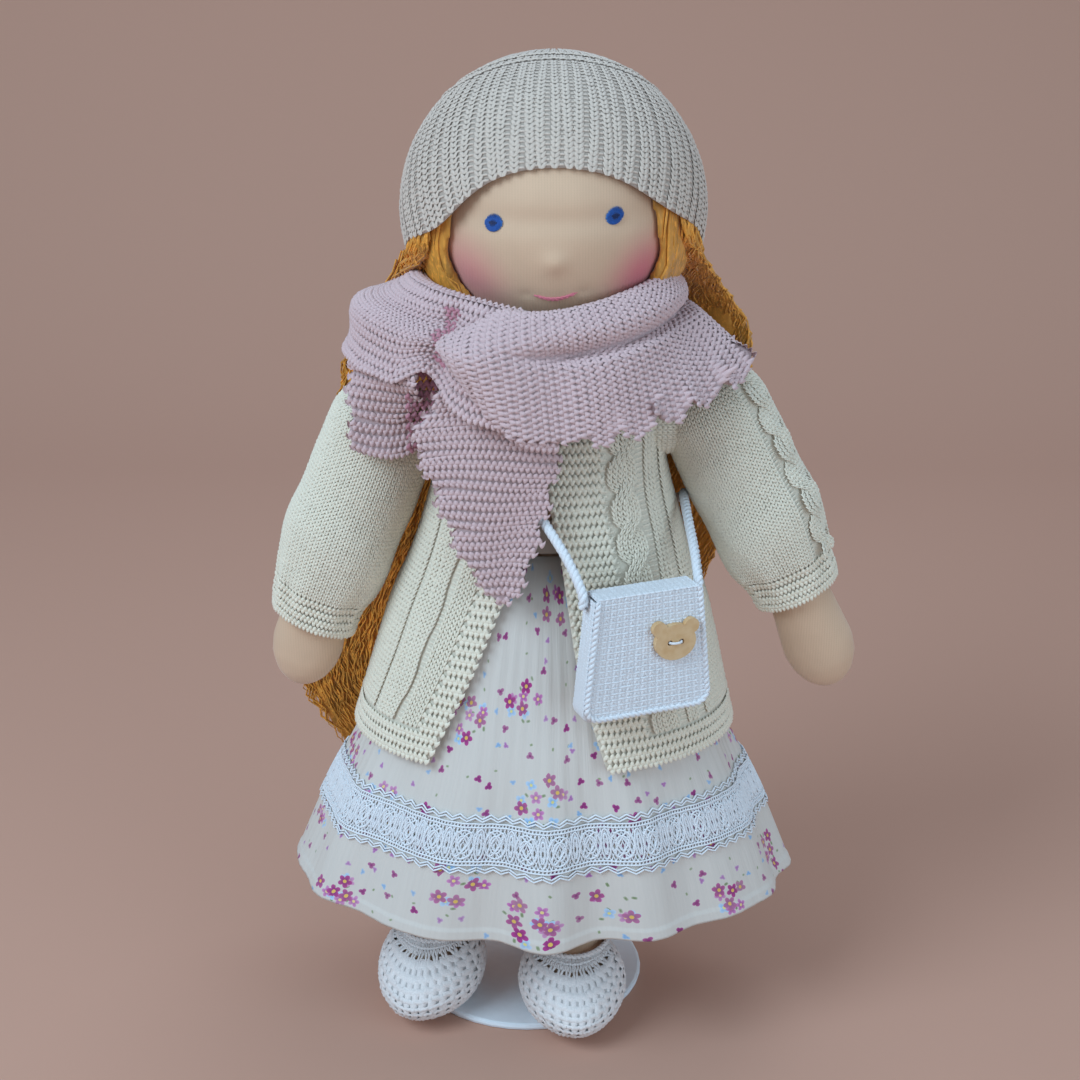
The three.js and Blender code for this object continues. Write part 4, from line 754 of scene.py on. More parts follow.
class DOLL_OT_stage(bpy.types.Operator):
    """Lays a curved paper backdrop, and sets the camera and the soft lights"""
    bl_idname = "doll.stage"
    bl_label = "Stage"

    def execute(self, context):
        settings = context.scene.doll_settings
        made, _, shader, _ = begin("backdrop_paper", Roughness=1.0)
        shader.inputs["Base Color"].default_value = tuple(settings.backdrop)
        near, bend, round_off, high, half = -2600, 700, 600, 3000, 3000
        profile = [(near, 0)] + [(bend + round_off * math.sin(a), round_off * (1 - math.cos(a)))
                                 for a in np.linspace(0, math.pi / 2, 16)] + [(bend + round_off, high)]
        points = [[x, y, z] for y, z in profile for x in (-half, half)]
        faces = [[2 * i, 2 * i + 1, 2 * i + 3, 2 * i + 2] for i in range(len(profile) - 1)]
        mesh_piece("backdrop", points, faces, made)
        world = bpy.data.worlds.new("studio")
        world.use_nodes = True
        cool = colour("#ceeaff")
        tree = world.node_tree
        tree.nodes.clear()
        glow, wall_tone = (add(tree, "Background", {"Color": tone, "Strength": strength}).outputs[0]
                           for tone, strength in ((cool, 0.58), (colour("#93807a"), 1.0)))
        rays = add(tree, "LightPath").outputs
        direct = maths(tree, "MAXIMUM", rays["Is Camera Ray"], rays["Is Glossy Ray"])
        direct = maths(tree, "MAXIMUM", direct, rays["Is Transmission Ray"])
        seen = add(tree, "MixShader", {0: direct, 1: glow, 2: wall_tone})
        add(tree, "OutputWorld", {0: seen.outputs[0]})
        context.scene.world = world
        for name, place, aim, size, power in (
                ("window", (-900, -800, 1150), (0, 0, 230), 900, 17.0),
                ("fill", (1000, -1000, 500), (0, 0, 200), 1200, 7.0),
                ("rim", (200, 500, 1200), (0, 0, 300), 700, 3.0)):
            data = bpy.data.lights.new(name, "AREA")
            data.shape, data.size, data.energy = "DISK", size * MM, power * settings.light
            data.color = cool[:3]
            lamp = link(name, data)
            lamp.location = Vector(place) * MM
            lamp.rotation_euler = (Vector(aim) - Vector(place)).to_track_quat("-Z", "Y").to_euler()
        data = bpy.data.cameras.new("camera")
        data.lens, data.sensor_width, data.clip_end = 65.67, 36.0, 50
        camera = link("camera", data)
        camera.location = Vector((5.4, -756.0, 487.0)) * MM
        camera.rotation_euler = (math.radians(90 - 20.6), 0, 0)
        context.scene.camera = camera
        context.scene.view_settings.view_transform = "Standard"
        return {"FINISHED"}


class DOLL_OT_stand(bpy.types.Operator):
    """Enamels the stand's disc and post, and brightens its rod and waist clip"""
    bl_idname = "doll.stand"
    bl_label = "Stand"

    def execute(self, context):
        # baked enamel on a pressed steel disc: an even, satin skin with a soft highlight
        enamel = plain("enamelled_steel", "#e6e9ed", 0.35)
        # drawn steel wire: bright, with narrow highlights along its length
        wire = plain("drawn_wire", "#c0c2c6", 0.32, 1.0)
        for node, finish in (("base", enamel), ("post", enamel), ("rod", wire), ("waist_clip", wire)):
            refinish(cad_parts[f"stand_{node}"].data, finish)
        return {"FINISHED"}


class DOLL_OT_body(bpy.types.Operator):
    """Sews the head, torso, arms and legs in jersey"""
    bl_idname = "doll.body"
    bl_label = "Body"

    def execute(self, context):
        skin = jersey(context.scene.doll_settings.skin)
        rows, columns, pole = 110, 160, math.pi / 2 - 0.02
        grid = head_surface(*np.meshgrid(circle(columns, -math.pi), np.linspace(-pole, pole, rows))).reshape(-1, 3)
        faces = quads(rows, columns, True).tolist()
        faces += [list(range(columns - 1, -1, -1)), list(range(len(grid) - columns, len(grid)))]
        ball = mesh_piece("face_ball", grid, faces, skin)
        settle(ball, "doll", "skin_jersey", "head")
        settle(softened("torso", "stuffed_torso", skin, 2.2, 6), "doll", "skin_jersey", "torso")
        for side in ("left", "right"):
            for limb, ease in (("arm", (1.3, 14)), ("leg", ())):
                piece = softened(f"{side}_{limb}", f"stuffed_{limb}_{side}", skin, *ease)
                settle(piece, f"{limb}_{side}", "skin_jersey", f"{side}_{limb}")
        return {"FINISHED"}


class DOLL_OT_face(bpy.types.Operator):
    """Embroiders the eyes in satin stitch and the mouth in stem stitch"""
    bl_idname = "doll.face"
    bl_label = "Face"

    def execute(self, context):
        def on_face(x, z, lift):
            rise = np.arcsin(np.clip((z - HEAD[2]) / HEAD_HALF[2], -1, 1))
            turn = np.arcsin(np.clip((x - HEAD[0]) / HEAD_HALF[0] / np.cos(rise), -1, 1))
            return head_surface(turn, rise, lift[:, None])

        # stranded cotton floss: fine parallel threads with a low shine
        floss = yarn("embroidery_floss_blue", "#1f5db4", 0.5, 0.2, 0.3)
        deep = yarn("embroidery_floss_navy", "#122f66", 0.5, 0.2, 0.3)
        rim = yarn("embroidery_floss_mid_blue", "#3f76bd", 0.6, 0.2, 0.3)
        t = np.linspace(-1, 1, 9)
        for side, x, z in (("left", 32.4, 348.46), ("right", -11.4, 345.94)):
            for name, half, lift, finish, squeeze, count in (("rim", 3.1, 0.18, rim, 1.08, 13),
                                                             ("iris", 2.8, 0.42, floss, 1.12, 13),
                                                             ("pupil", 1.25, 0.62, deep, 1.15, 6)):
                lines = []
                for off in np.linspace(-0.94, 0.94, count) * half:
                    reach = math.sqrt(max(half ** 2 - off ** 2, 0.05)) * 0.98 * squeeze
                    lines.append(on_face(x + off + t * reach * 0.1, z + t * reach, lift + 0.25 * (1 - t ** 2)))
                piece = mesh_piece(f"{side}_eye_{name}", *strand_tubes(lines, np.full(count, 0.34), 5), finish)
                settle(piece, "doll", "eye_thread", *([f"{side}_eye"] if name == "iris" else []))
        rose = yarn("embroidery_floss_pink", "#e8808f", 0.75, 0.25, 0.3)
        t, lines = np.linspace(-1, 1, 40), []
        for strand in range(3):
            x = 11.2 + t * (7.9 - 1.1 * abs(strand - 1))
            z = 317.9 + 1.9 * t ** 2 + 0.62 * t + (strand - 1) * 0.42 * (1 - t ** 2)
            lines.append(on_face(x, z, 0.28 - 0.5 * t ** 6 + 0.12 * np.sin(t * 26 + strand)))
        settle(mesh_piece("smile", *strand_tubes(lines, [0.33, 0.36, 0.33], 5), rose), "doll", "mouth_thread", "mouth")
        return {"FINISHED"}


class DOLL_OT_hat(bpy.types.Operator):
    """Knits the hat in rib, row by row from the brim to the crown"""
    bl_idname = "doll.hat"
    bl_label = "Hat"

    def execute(self, context):
        settings = context.scene.doll_settings
        # merino wool, ribbed: matt, with soft grey between the raised ribs, which is painted shade in the darker
        # lining
        wool = yarn("merino_yarn_hat", settings.hat, 0.84)
        # the lining is a darker copy of the hat wool: painted shade where it shows between the ribs
        inside = yarn("merino_yarn_hat_shaded_inside", shade(settings.hat, 0.72), 0.85)
        grid = np.meshgrid(circle(144), np.linspace(0, 0.985, 40))
        shell = wall("hat_lining", *(hat_surface(*grid, HAT_RADIUS - depth) for depth in (1.2, 2.2)), inside, True)
        settle(shell, "woolly_hat", "hat_wool", "hat")
        columns, rows, arc, last = 72, 47, 1.76, 0.975
        k, j = cells(columns, rows)
        up = (j + 0.4) / rows * last
        turn = 2 * math.pi * (k + 0.16 * np.sin(7 * up + 1.9 * k) * (1 - up)) / columns
        pitch = 2 * math.pi * HAT_RADIUS * np.sin(np.clip((1 - up) * arc, 0.02, 3)) / columns
        height = HAT_RADIUS * arc / rows * last
        keep, band = pitch > 0.9, (j == 26) | (j == 29)
        surface = lambda u, v: hat_surface(u, v, HAT_RADIUS - 0.55)
        groups = [sew(KNIT, surface, turn, up, pitch * 0.72, height, 0.85, -0.25, keep & ~band),
                  sew(PURL, surface, turn, up, pitch * 0.7, height * 1.2, 1.0, 0.25, keep & band),
                  sew(PURL, surface, turn + math.pi / columns, up, pitch * 0.5, height * 0.85, 0.75,
                      np.where(band, 0.25, -0.4), keep)]
        for ring, count in ((0.165, 27), (0.135, 22), (0.105, 17), (0.075, 12), (0.045, 7), (0.018, 3)):
            groups.append(sew(KNIT, surface, circle(count), np.full(count, 1 - ring / arc), 2.4, 1.9, 0.9, -0.2))
        settle(lay("hat_rib", wool, groups), "woolly_hat", "hat_wool")
        return {"FINISHED"}


class DOLL_OT_cardigan(bpy.types.Operator):
    """Knits the cardigan's fronts, back and sleeves, with garter edges and cables"""
    bl_idname = "doll.cardigan"
    bl_label = "Cardigan"

    def execute(self, context):
        settings = context.scene.doll_settings
        # fine sock wool, knitted plain: matt cream, with small crisp stitches
        wool = yarn("sock_wool_cardigan", settings.cardigan, 0.86)
        # the linings are a darker copy of the cardigan wool: painted shade where they show between the stitches
        inside = yarn("sock_wool_cardigan_shaded_inside", shade(settings.cardigan, 0.85), 0.88)
        front = lambda table, down: math.asin(follow(table, down))
        columns, grid = 120, []
        for down in np.linspace(1, 0.03, 60):
            turn = np.linspace(front(LEFT_FRONT, down), front(RIGHT_FRONT, down) + 2 * math.pi, columns)
            grid.append([cardigan_surface(turn, np.full(columns, down), lift) for lift in (-1.5, -3.2)])
        lined = wall("cardigan_lining", *np.array(grid).swapaxes(0, 1), inside)
        settle(lined, "doll", "cardigan_wool", "cardigan_body")
        surface = lambda u, v: cardigan_surface(u, 1 - v)
        pieces, high = [], CARDIGAN_TOP - CARDIGAN_BOTTOM
        for part, start, end, pitch, tall in (("front_left", LEFT_FRONT, 0.5, 2.3, 2.0),
                                              ("front_right", RIGHT_FRONT, -0.5, 2.3, 2.0),
                                              ("back", 0.5, 1.5, 2.75, 2.4)):
            faint, back = part == "front_right", part == "back"
            spots = []
            for row in range(int(high * 0.965 / tall)):
                up = (row + 0.5) * tall / high
                first = start * math.pi if back else front(start, 1 - up)
                places, _ = along_line(surface, np.linspace(first, end * math.pi, 300), np.full(300, up), pitch)
                index = np.arange(len(places)) + (100 if back else 0)
                spots.append(np.stack(np.broadcast_arrays(places, up, index, row), 1))
            u, v, index, row = np.concatenate(spots).T
            edge = (index < (5 if faint else 9)) | (row <= 5)
            cable = ~edge & (index > 9) & (index < 16)
            purl = ~edge & np.isin(index, (9, 16) if faint else (9, 16, 17, 21, 22))
            sway, depth = (-0.25 * pitch, 0.15) if faint else (1.4 * pitch, 0.42)
            groups = [sew(KNIT, surface, u, v, pitch, tall, 1.0, -0.75, ~edge & ~cable & ~purl),
                      sew(GARTER, surface, u, v, pitch, tall * 2, 0.85 if faint else 1.0, -0.6, edge & (row % 2 == 0)),
                      sew(PURL, surface, u, v, pitch, tall, 0.9, -1.3, purl),
                      cabled(surface, u[cable], v[cable], pitch, tall, np.where(index < 13, 1, -1)[cable], row[cable],
                             sway, depth)]
            pieces.append(settle(lay(f"cardigan_{part}", wool, groups), "doll", "cardigan_wool"))
        for side in ("left", "right"):
            self.armhole(side, wool, inside)
            self.sleeve(side, wool, inside)
        return {"FINISHED"}

    def armhole(self, side, wool, inside):
        """The knitted ring between the cardigan's body and the sleeve, round the shoulder's own axis."""
        outward, x, y, z = OUTWARD[side], *SHOULDERS[side]
        radius, end, count, tall = 15.4, 34.0, 43, 2.0
        ring = lambda u, v, lift=0.0: np.stack([x - outward * v, y + np.sin(u) * outward * (radius + lift),
                                                z + np.cos(u) * (radius + lift)], -1)
        grid = np.meshgrid(circle(64), np.linspace(8.0, end, 14))
        lined = wall(f"armhole_lining_{side}", *(ring(*grid, lift)[::-1] for lift in (-0.8, -1.8)), inside, True)
        settle(lined, "doll", "cardigan_wool")
        u, v = (a.ravel() for a in np.meshgrid(circle(count), np.arange(13.0, end, tall)))
        settle(lay(f"armhole_{side}", wool, [sew(KNIT, ring, u, v, 2.25, tall, 1.0, -0.6)]), "doll", "cardigan_wool")

    def sleeve(self, side, wool, inside):
        """The sleeve's lining and its stitches, in rows from the cuff up over the shoulder."""
        outward, length, columns, tall, cuff_rows, reach = OUTWARD[side], SLEEVE_LENGTHS[side], 64, 1.75, 8, 1.35
        surface = lambda u, v, lift=0.0: sleeve_surface(side, -u * outward, -v, lift)
        grid = np.meshgrid(circle(72), np.linspace(-length, SLEEVE_RADIUS * 0.96, 44))
        lined = wall(f"sleeve_lining_{side}", surface(*grid, -1.4), surface(*grid, -2.8), inside, True)
        settle(lined, f"arm_{side}", "cardigan_wool", f"{side}_sleeve")
        k, j = cells(columns, int((length + SLEEVE_RADIUS) / tall))
        u, v = 2 * math.pi * k / columns, -length + (j + 0.5) * tall
        width = spacing(surface, u, v, columns / (2 * math.pi)) * 1.02
        middle = round(-CABLE_TURNS[side] * outward / (2 * math.pi) * columns)
        off = (k - middle + columns / 2) % columns - columns / 2 + 0.5
        keep = (width > 0.7) & (j >= cuff_rows)
        cable = keep & (np.abs(off) < 3) & (side == "left")
        edge = keep & (np.abs(off) > 3) & (np.abs(off) < 4) & (side == "left")
        groups = [sew(KNIT, surface, u, v, width, tall, 1.0, -0.75, keep & ~cable & ~edge),
                  sew(PURL, surface, u, v, width, tall, 0.9, -1.1, edge),
                  cabled(surface, u[cable], v[cable], width[cable], tall, np.where(off > 0, 1, -1)[cable], j[cable],
                         -reach * width[cable], 0.38),
                  sew(GARTER, surface, u, v + tall / 2, width, tall * 2, 1.1, -0.6, (j < cuff_rows) & (j % 2 == 0))]
        stitches = settle(lay(f"sleeve_{side}", wool, groups), f"arm_{side}", "cardigan_wool")


class DOLL_OT_dress(bpy.types.Operator):
    """Sews the bodice and the gathered skirt in printed cotton"""
    bl_idname = "doll.dress"
    bl_label = "Dress"

    def execute(self, context):
        settings = context.scene.doll_settings
        cotton = printed_cotton(settings.dress, settings.flowers)
        downs = np.concatenate([np.linspace(1, 0.955, 9), np.linspace(0.94, 0, 62)])
        turn, down = np.meshgrid(circle(480, math.pi), downs)
        girth, stretch = 590.0 * MM, 1.12
        uv = np.stack([(turn / (2 * math.pi) - 0.5) * girth, (1 - down) * (WAIST - HEM) * stretch * MM], -1)
        outer, inner = (skirt_surface(turn, down, lift) for lift in (0.0, -1.0))
        sheet = wall("skirt", outer, inner, cotton, True, uv.reshape(-1, 2))
        skirt = settle(sheet, "doll", "dress_cotton", "dress_skirt")
        # the print runs on over the seam, where the last faces join the first
        layer = skirt.data.uv_layers["cloth"].data
        corners = np.zeros((len(layer) // 4, 4, 2), np.float32)
        layer.foreach_get("uv", corners.reshape(-1))
        seam = np.ptp(corners[..., 0], axis=1) > girth / 2
        corners[seam, :, 0] += np.where(corners[seam, :, 0] < girth / 2, girth, 0)
        layer.foreach_set("uv", corners.ravel())
        lace = make_lace(yarn("cotton_lace_thread", settings.cotton, 0.88, 0.4, 0.3))
        settle(softened("dress_bodice", "bodice", cotton, 1.5, 3), "doll", "dress_cotton", "dress_bodice")
        return {"FINISHED"}


def lace_pattern():
    """Threads of one repeat of the lace, as points [across, up]: pointed edges, ladders, a net and petals."""
    t = np.linspace(0, 1, 13)
    tooth = np.abs((2 * t) % 1 * 2 - 1)
    long = [np.stack([t, base + tall * (1 - tooth)], 1)
            for base, tall in ((0.93, 0.07), (0.885, 0.06), (0.07, -0.07), (0.115, -0.06))]
    long += [np.stack([t, 0 * t + up], 1) for up in (0.85, 0.79, 0.21, 0.15)]
    bend = t * math.pi
    for middle, wide, tall, tilt in ((0.5, 0.34, 0.24, 0), (0.5, 0.2, 0.15, 0), (0.5, 0.3, 0.1, 0.7),
                                     (0.5, 0.3, 0.1, -0.7), (0.0, 0.14, 0.26, 0), (0.0, 0.06, 0.18, 0)):
        c, s = math.cos(tilt), math.sin(tilt)
        for half in (1, -1):
            x, y = wide * np.cos(bend), half * tall * np.sin(bend)
            long.append(np.stack([x * c - y * s, x * s + y * c], 1) + [middle, 0.5])
    t = np.linspace(0, 1, 8)
    net = [np.stack([k / 8 + side * 0.42 * t, 0.21 + 0.58 * t], 1) for k in range(8) for side in (1, -1)]
    short = [np.array([[k / 9, low], [k / 9 + 0.02, low + 0.06]]) for k in range(9) for low in (0.79, 0.15)]
    return long, net, short


def make_lace(thread):
    """Lays the lace's threads on the skirt, repeat after repeat."""
    points, faces, count = [], [], 0
    for lines, radius, lift in zip(lace_pattern(), (0.42, 0.3, 0.38), (0.9, 0.65, 0.8)):
        lines = np.concatenate([np.array(lines) + [k, 0] for k in range(LACE_REPEATS)])
        turn = lines[..., 0] / LACE_REPEATS * 2 * math.pi
        down = 1 - (LACE_LOW + (LACE_HIGH - LACE_LOW) * lines[..., 1]) / (WAIST - HEM)
        laid, sides = strand_tubes(skirt_surface(turn, down, lift), np.full(len(turn), radius), 4, False)
        points.append(laid)
        faces.append(sides + count)
        count += len(laid)
    piece = mesh_piece("lace_threads", np.concatenate(points), np.concatenate(faces), thread)
    return settle(piece, "doll", "lace_cotton", "skirt_lace")


# The print's scatters of flowers and leaves, as spacing and radius in millimetres, petals, tips (None for the flowers'
# setting), inner tone, heart, chance, shift, whether they lie in the posies or between them, and how narrow they are
PRINT = (
    (6.4, 1.9, 2, "#9aa680", "#77875f", "#77875f", 0.5, 3.0, True, 2.6),
    (13.0, 1.5, 2, "#a8b090", "#8a9670", "#8a9670", 0.45, 31.0, False, 2.4),
    (12.0, 1.9, 3, "#c79ac6", "#a35f9f", "#b477b1", 0.4, 17.0, False, 1.3),
    (15.0, 1.9, 3, "#a9c3dd", "#7fa6cf", "#8fb2d6", 0.4, 53.0, False, 1.4),
    (13.0, 2.3, 3, "#b43f8f", "#7e2463", "#9a2f7c", 0.5, 71.0, False, 1.2),
    (8.0, 3.0, 4, "#b9d2ea", "#8fb6dc", "#e0d58a", 0.45, 97.0, True, 1.0),
    (8.6, 3.1, 5, "#cf7cb8", "#a8559a", "#e8cf8a", 0.5, 131.0, True, 1.0),
    (7.6, 3.7, 5, None, "#8c2a70", "#e2b95e", 0.6, 7.0, True, 1.0))


def printed_cotton(ground, flower):
    """Crinkled cotton lawn: off-white, with fine upright crinkles and small scattered flowers in its print."""
    made, tree, shader, _ = begin("printed_cotton", Roughness=0.85, Sheen_Weight=0.15, Sheen_Roughness=0.5)
    cloth = add(tree, "UVMap", uv_map="cloth").outputs[0]
    ground = shade(ground, 1.0)
    stretched = add(tree, "Mapping", {"Vector": cloth, "Scale": (1.0, 0.05, 1.0)}).outputs[0]
    # the crinkles run up the cloth, 1.2 to 2 mm apart
    crinkle = add(tree, "TexNoise", {"Vector": stretched, "Scale": 700.0, "Detail": 3.0},
                  noise_dimensions="2D").outputs[0]
    paint = blended(tree, ranged(tree, crinkle, 0.35, 0.65, 0.0, 0.12), ground, shade(ground, 0.8))
    times = lambda a, b: maths(tree, "MULTIPLY", a, b)
    split = lambda value: add(tree, "SeparateXYZ", {0: value}).outputs
    minus = lambda a, b: add(tree, "VectorMath", {0: a, 1: b}, operation="SUBTRACT").outputs[0]

    def cellular(place, cell, uneven):
        return add(tree, "TexVoronoi", {"Vector": place, "Scale": 1 / (cell * MM), "Randomness": uneven},
                   voronoi_dimensions="2D").outputs

    for cell, size, petals, light, dark, heart, chance, shift, in_posy, narrow in PRINT:
        moved = (shift * MM, shift * 1.7 * MM, 0)
        place = add(tree, "Mapping", {"Vector": cloth, "Location": moved}).outputs[0]
        spots = cellular(place, cell, 0.8)
        random = split(spots["Color"])
        spin = add(tree, "VectorRotate", {"Vector": minus(place, spots["Position"]), "Angle": times(random[0], 6.283)},
                   rotation_type="Z_AXIS")
        xy = split(spin.outputs[0])
        x, y = times(xy[0], narrow), xy[1]
        radius = maths(tree, "SQRT", maths(tree, "ADD", times(x, x), times(y, y)))
        lobe = maths(tree, "ABSOLUTE", maths(tree, "COSINE", times(maths(tree, "ARCTAN2", y, x), petals / 2)))
        edge = maths(tree, "MULTIPLY_ADD", lobe, 0.45 * size * MM, 0.55 * size * MM)
        inside = ranged(tree, maths(tree, "SUBTRACT", edge, radius), 0.0, 0.35 * MM)
        chosen = maths(tree, "LESS_THAN", random[1], chance)
        # the posies are 46 mm apart and 25 mm wide
        posy = cellular(minus(spots["Position"], moved), 46, 0.75)["Distance"]
        placed = maths(tree, "LESS_THAN", posy, 0.25) if in_posy else maths(tree, "GREATER_THAN", posy, 0.3)
        petal = blended(tree, ranged(tree, maths(tree, "DIVIDE", radius, edge), 0.2, 1.0), colour(dark),
                        shade(light or flower, 1.0))
        petal = blended(tree, times(random[2], 0.28), petal, ground)
        petal = blended(tree, maths(tree, "LESS_THAN", radius, 0.24 * size * MM), petal, colour(heart))
        paint = blended(tree, times(inside, times(chosen, placed)), paint, petal)
    coat(tree, shader, paint, crinkle, 0.4, 0.4)
    return made


class DOLL_OT_bag(bpy.types.Operator):
    """Crochets the bag, its flap and its cord, and gives the button a wood finish"""
    bl_idname = "doll.bag"
    bl_label = "Bag"

    def execute(self, context):
        tone = context.scene.doll_settings.cotton
        # crochet cotton: whiter and crisper than wool, with less fuzz
        cotton = yarn("crochet_cotton_bag", tone, 0.84, 0.4, 0.4)
        # the pouch and flap linings are a darker copy of the bag cotton: painted shade where they show between the
        # stitches
        inside = yarn("crochet_cotton_shaded_inside", shade(tone, 0.9), 0.9, 0.4, 0.4)
        settle(softened("bag_pouch", "pouch", inside, 0.9, 3), "bag", "bag_cotton", "bag_pouch")
        settle(softened("bag_flap", "flap_lining", inside, 0.8, 2), "flap", "bag_cotton", "bag_flap")
        c, s = math.cos(BAG_TURN), math.sin(BAG_TURN)

        def placed(x, y, z):
            return BAG_ORIGIN + np.stack(np.broadcast_arrays(x * c - y * s, x * s + y * c, z), -1)

        half, top, high, columns, rows = 20.6, 1.9, 48.5, 16, 20
        flare = lambda down: 1 + 0.24 * down / high
        front = lambda u, v: placed(u * half * flare(top - v), -6.95, v)
        lid = lambda u, v: placed(u * half, v, top)
        tall = 48.4 / rows
        k, j = cells(columns, rows)
        u, v = (k + 0.5) / columns * 2 - 1, top - (j + 0.5) * tall
        groups = [sew(CROCHET, front, u, v, 2 * half * flare(top - v) / columns, tall, 1.1, -0.15,
                      (np.abs(u) < 0.86) | (v > -43.5))]
        k, j = cells(columns, 4)
        u, v = (k + 0.5) / columns * 2 - 1, -5.6 + j * 2.6
        groups.append(sew(CROCHET, lid, u, v, 2 * half / columns, 2.6, 0.7, -0.2))
        settle(lay("flap_crochet", cotton, groups), "flap", "bag_cotton")
        left, low, corner = half * flare(43.4), -41.5, 5
        bend = [(left - corner + corner * math.cos(a), low + corner * math.sin(a))
                for a in np.linspace(0, -math.pi / 2, 6)]
        outline = np.array([(half, 1.7), *bend, *((-x, z) for x, z in bend[::-1]), (-half, 1.7)])
        rim = smooth_line(placed(outline[:, 0], -7.0, outline[:, 1]), 240, True)
        settle(mesh_piece("flap_edge", *twisted(rim, 2, 0.55, 0.75, 4.6), cotton), "flap", "bag_cotton")
        across, tall, groups = 2.5, 2.35, []
        k, j = cells(4, 19)
        for side in (1, -1):
            cheek = lambda a, b: placed(side * 21.1 * flare(-b), side * a, b)
            groups.append(sew(CROCHET, cheek, across * (k - 1.5), -1.3 - tall * j, across, tall, 0.8, -0.1))
        k, j = cells(16, 19)
        u, v = (k + 0.5) / 8 - 1, -1.3 - tall * j
        for side, thick, lift in ((-1, 0.5, -0.35), (1, 0.8, -0.1)):
            face = lambda a, b: placed(-side * a * 20 * flare(-b), side * 5.0, b)
            groups.append(sew(CROCHET, face, u, v, across * flare(-v), tall, thick, lift))
        settle(lay("pouch_crochet", cotton, groups), "bag", "bag_cotton")
        # birch ply, cut by laser and sanded: pale, matt, a little uneven
        wood = plain("birch_wood", "#d8b68b", 0.6, 0.0, 0.3, "#c4965f", 0.5)
        refinish(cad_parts["bear_button"].data, wood)
        refinish(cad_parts["button_thread"].data, yarn("cotton_sewing_thread", tone, 0.85, 0.3, 0.3))
        route = smooth_line(np.array(STRAP_ROUTE, float), 420)
        cord = mesh_piece("strap_cord", *twisted(route, 3, 0.95, 1.08, 6.5, 7), cotton)
        settle(cord, "doll", "bag_cotton", "bag_strap")
        return {"FINISHED"}


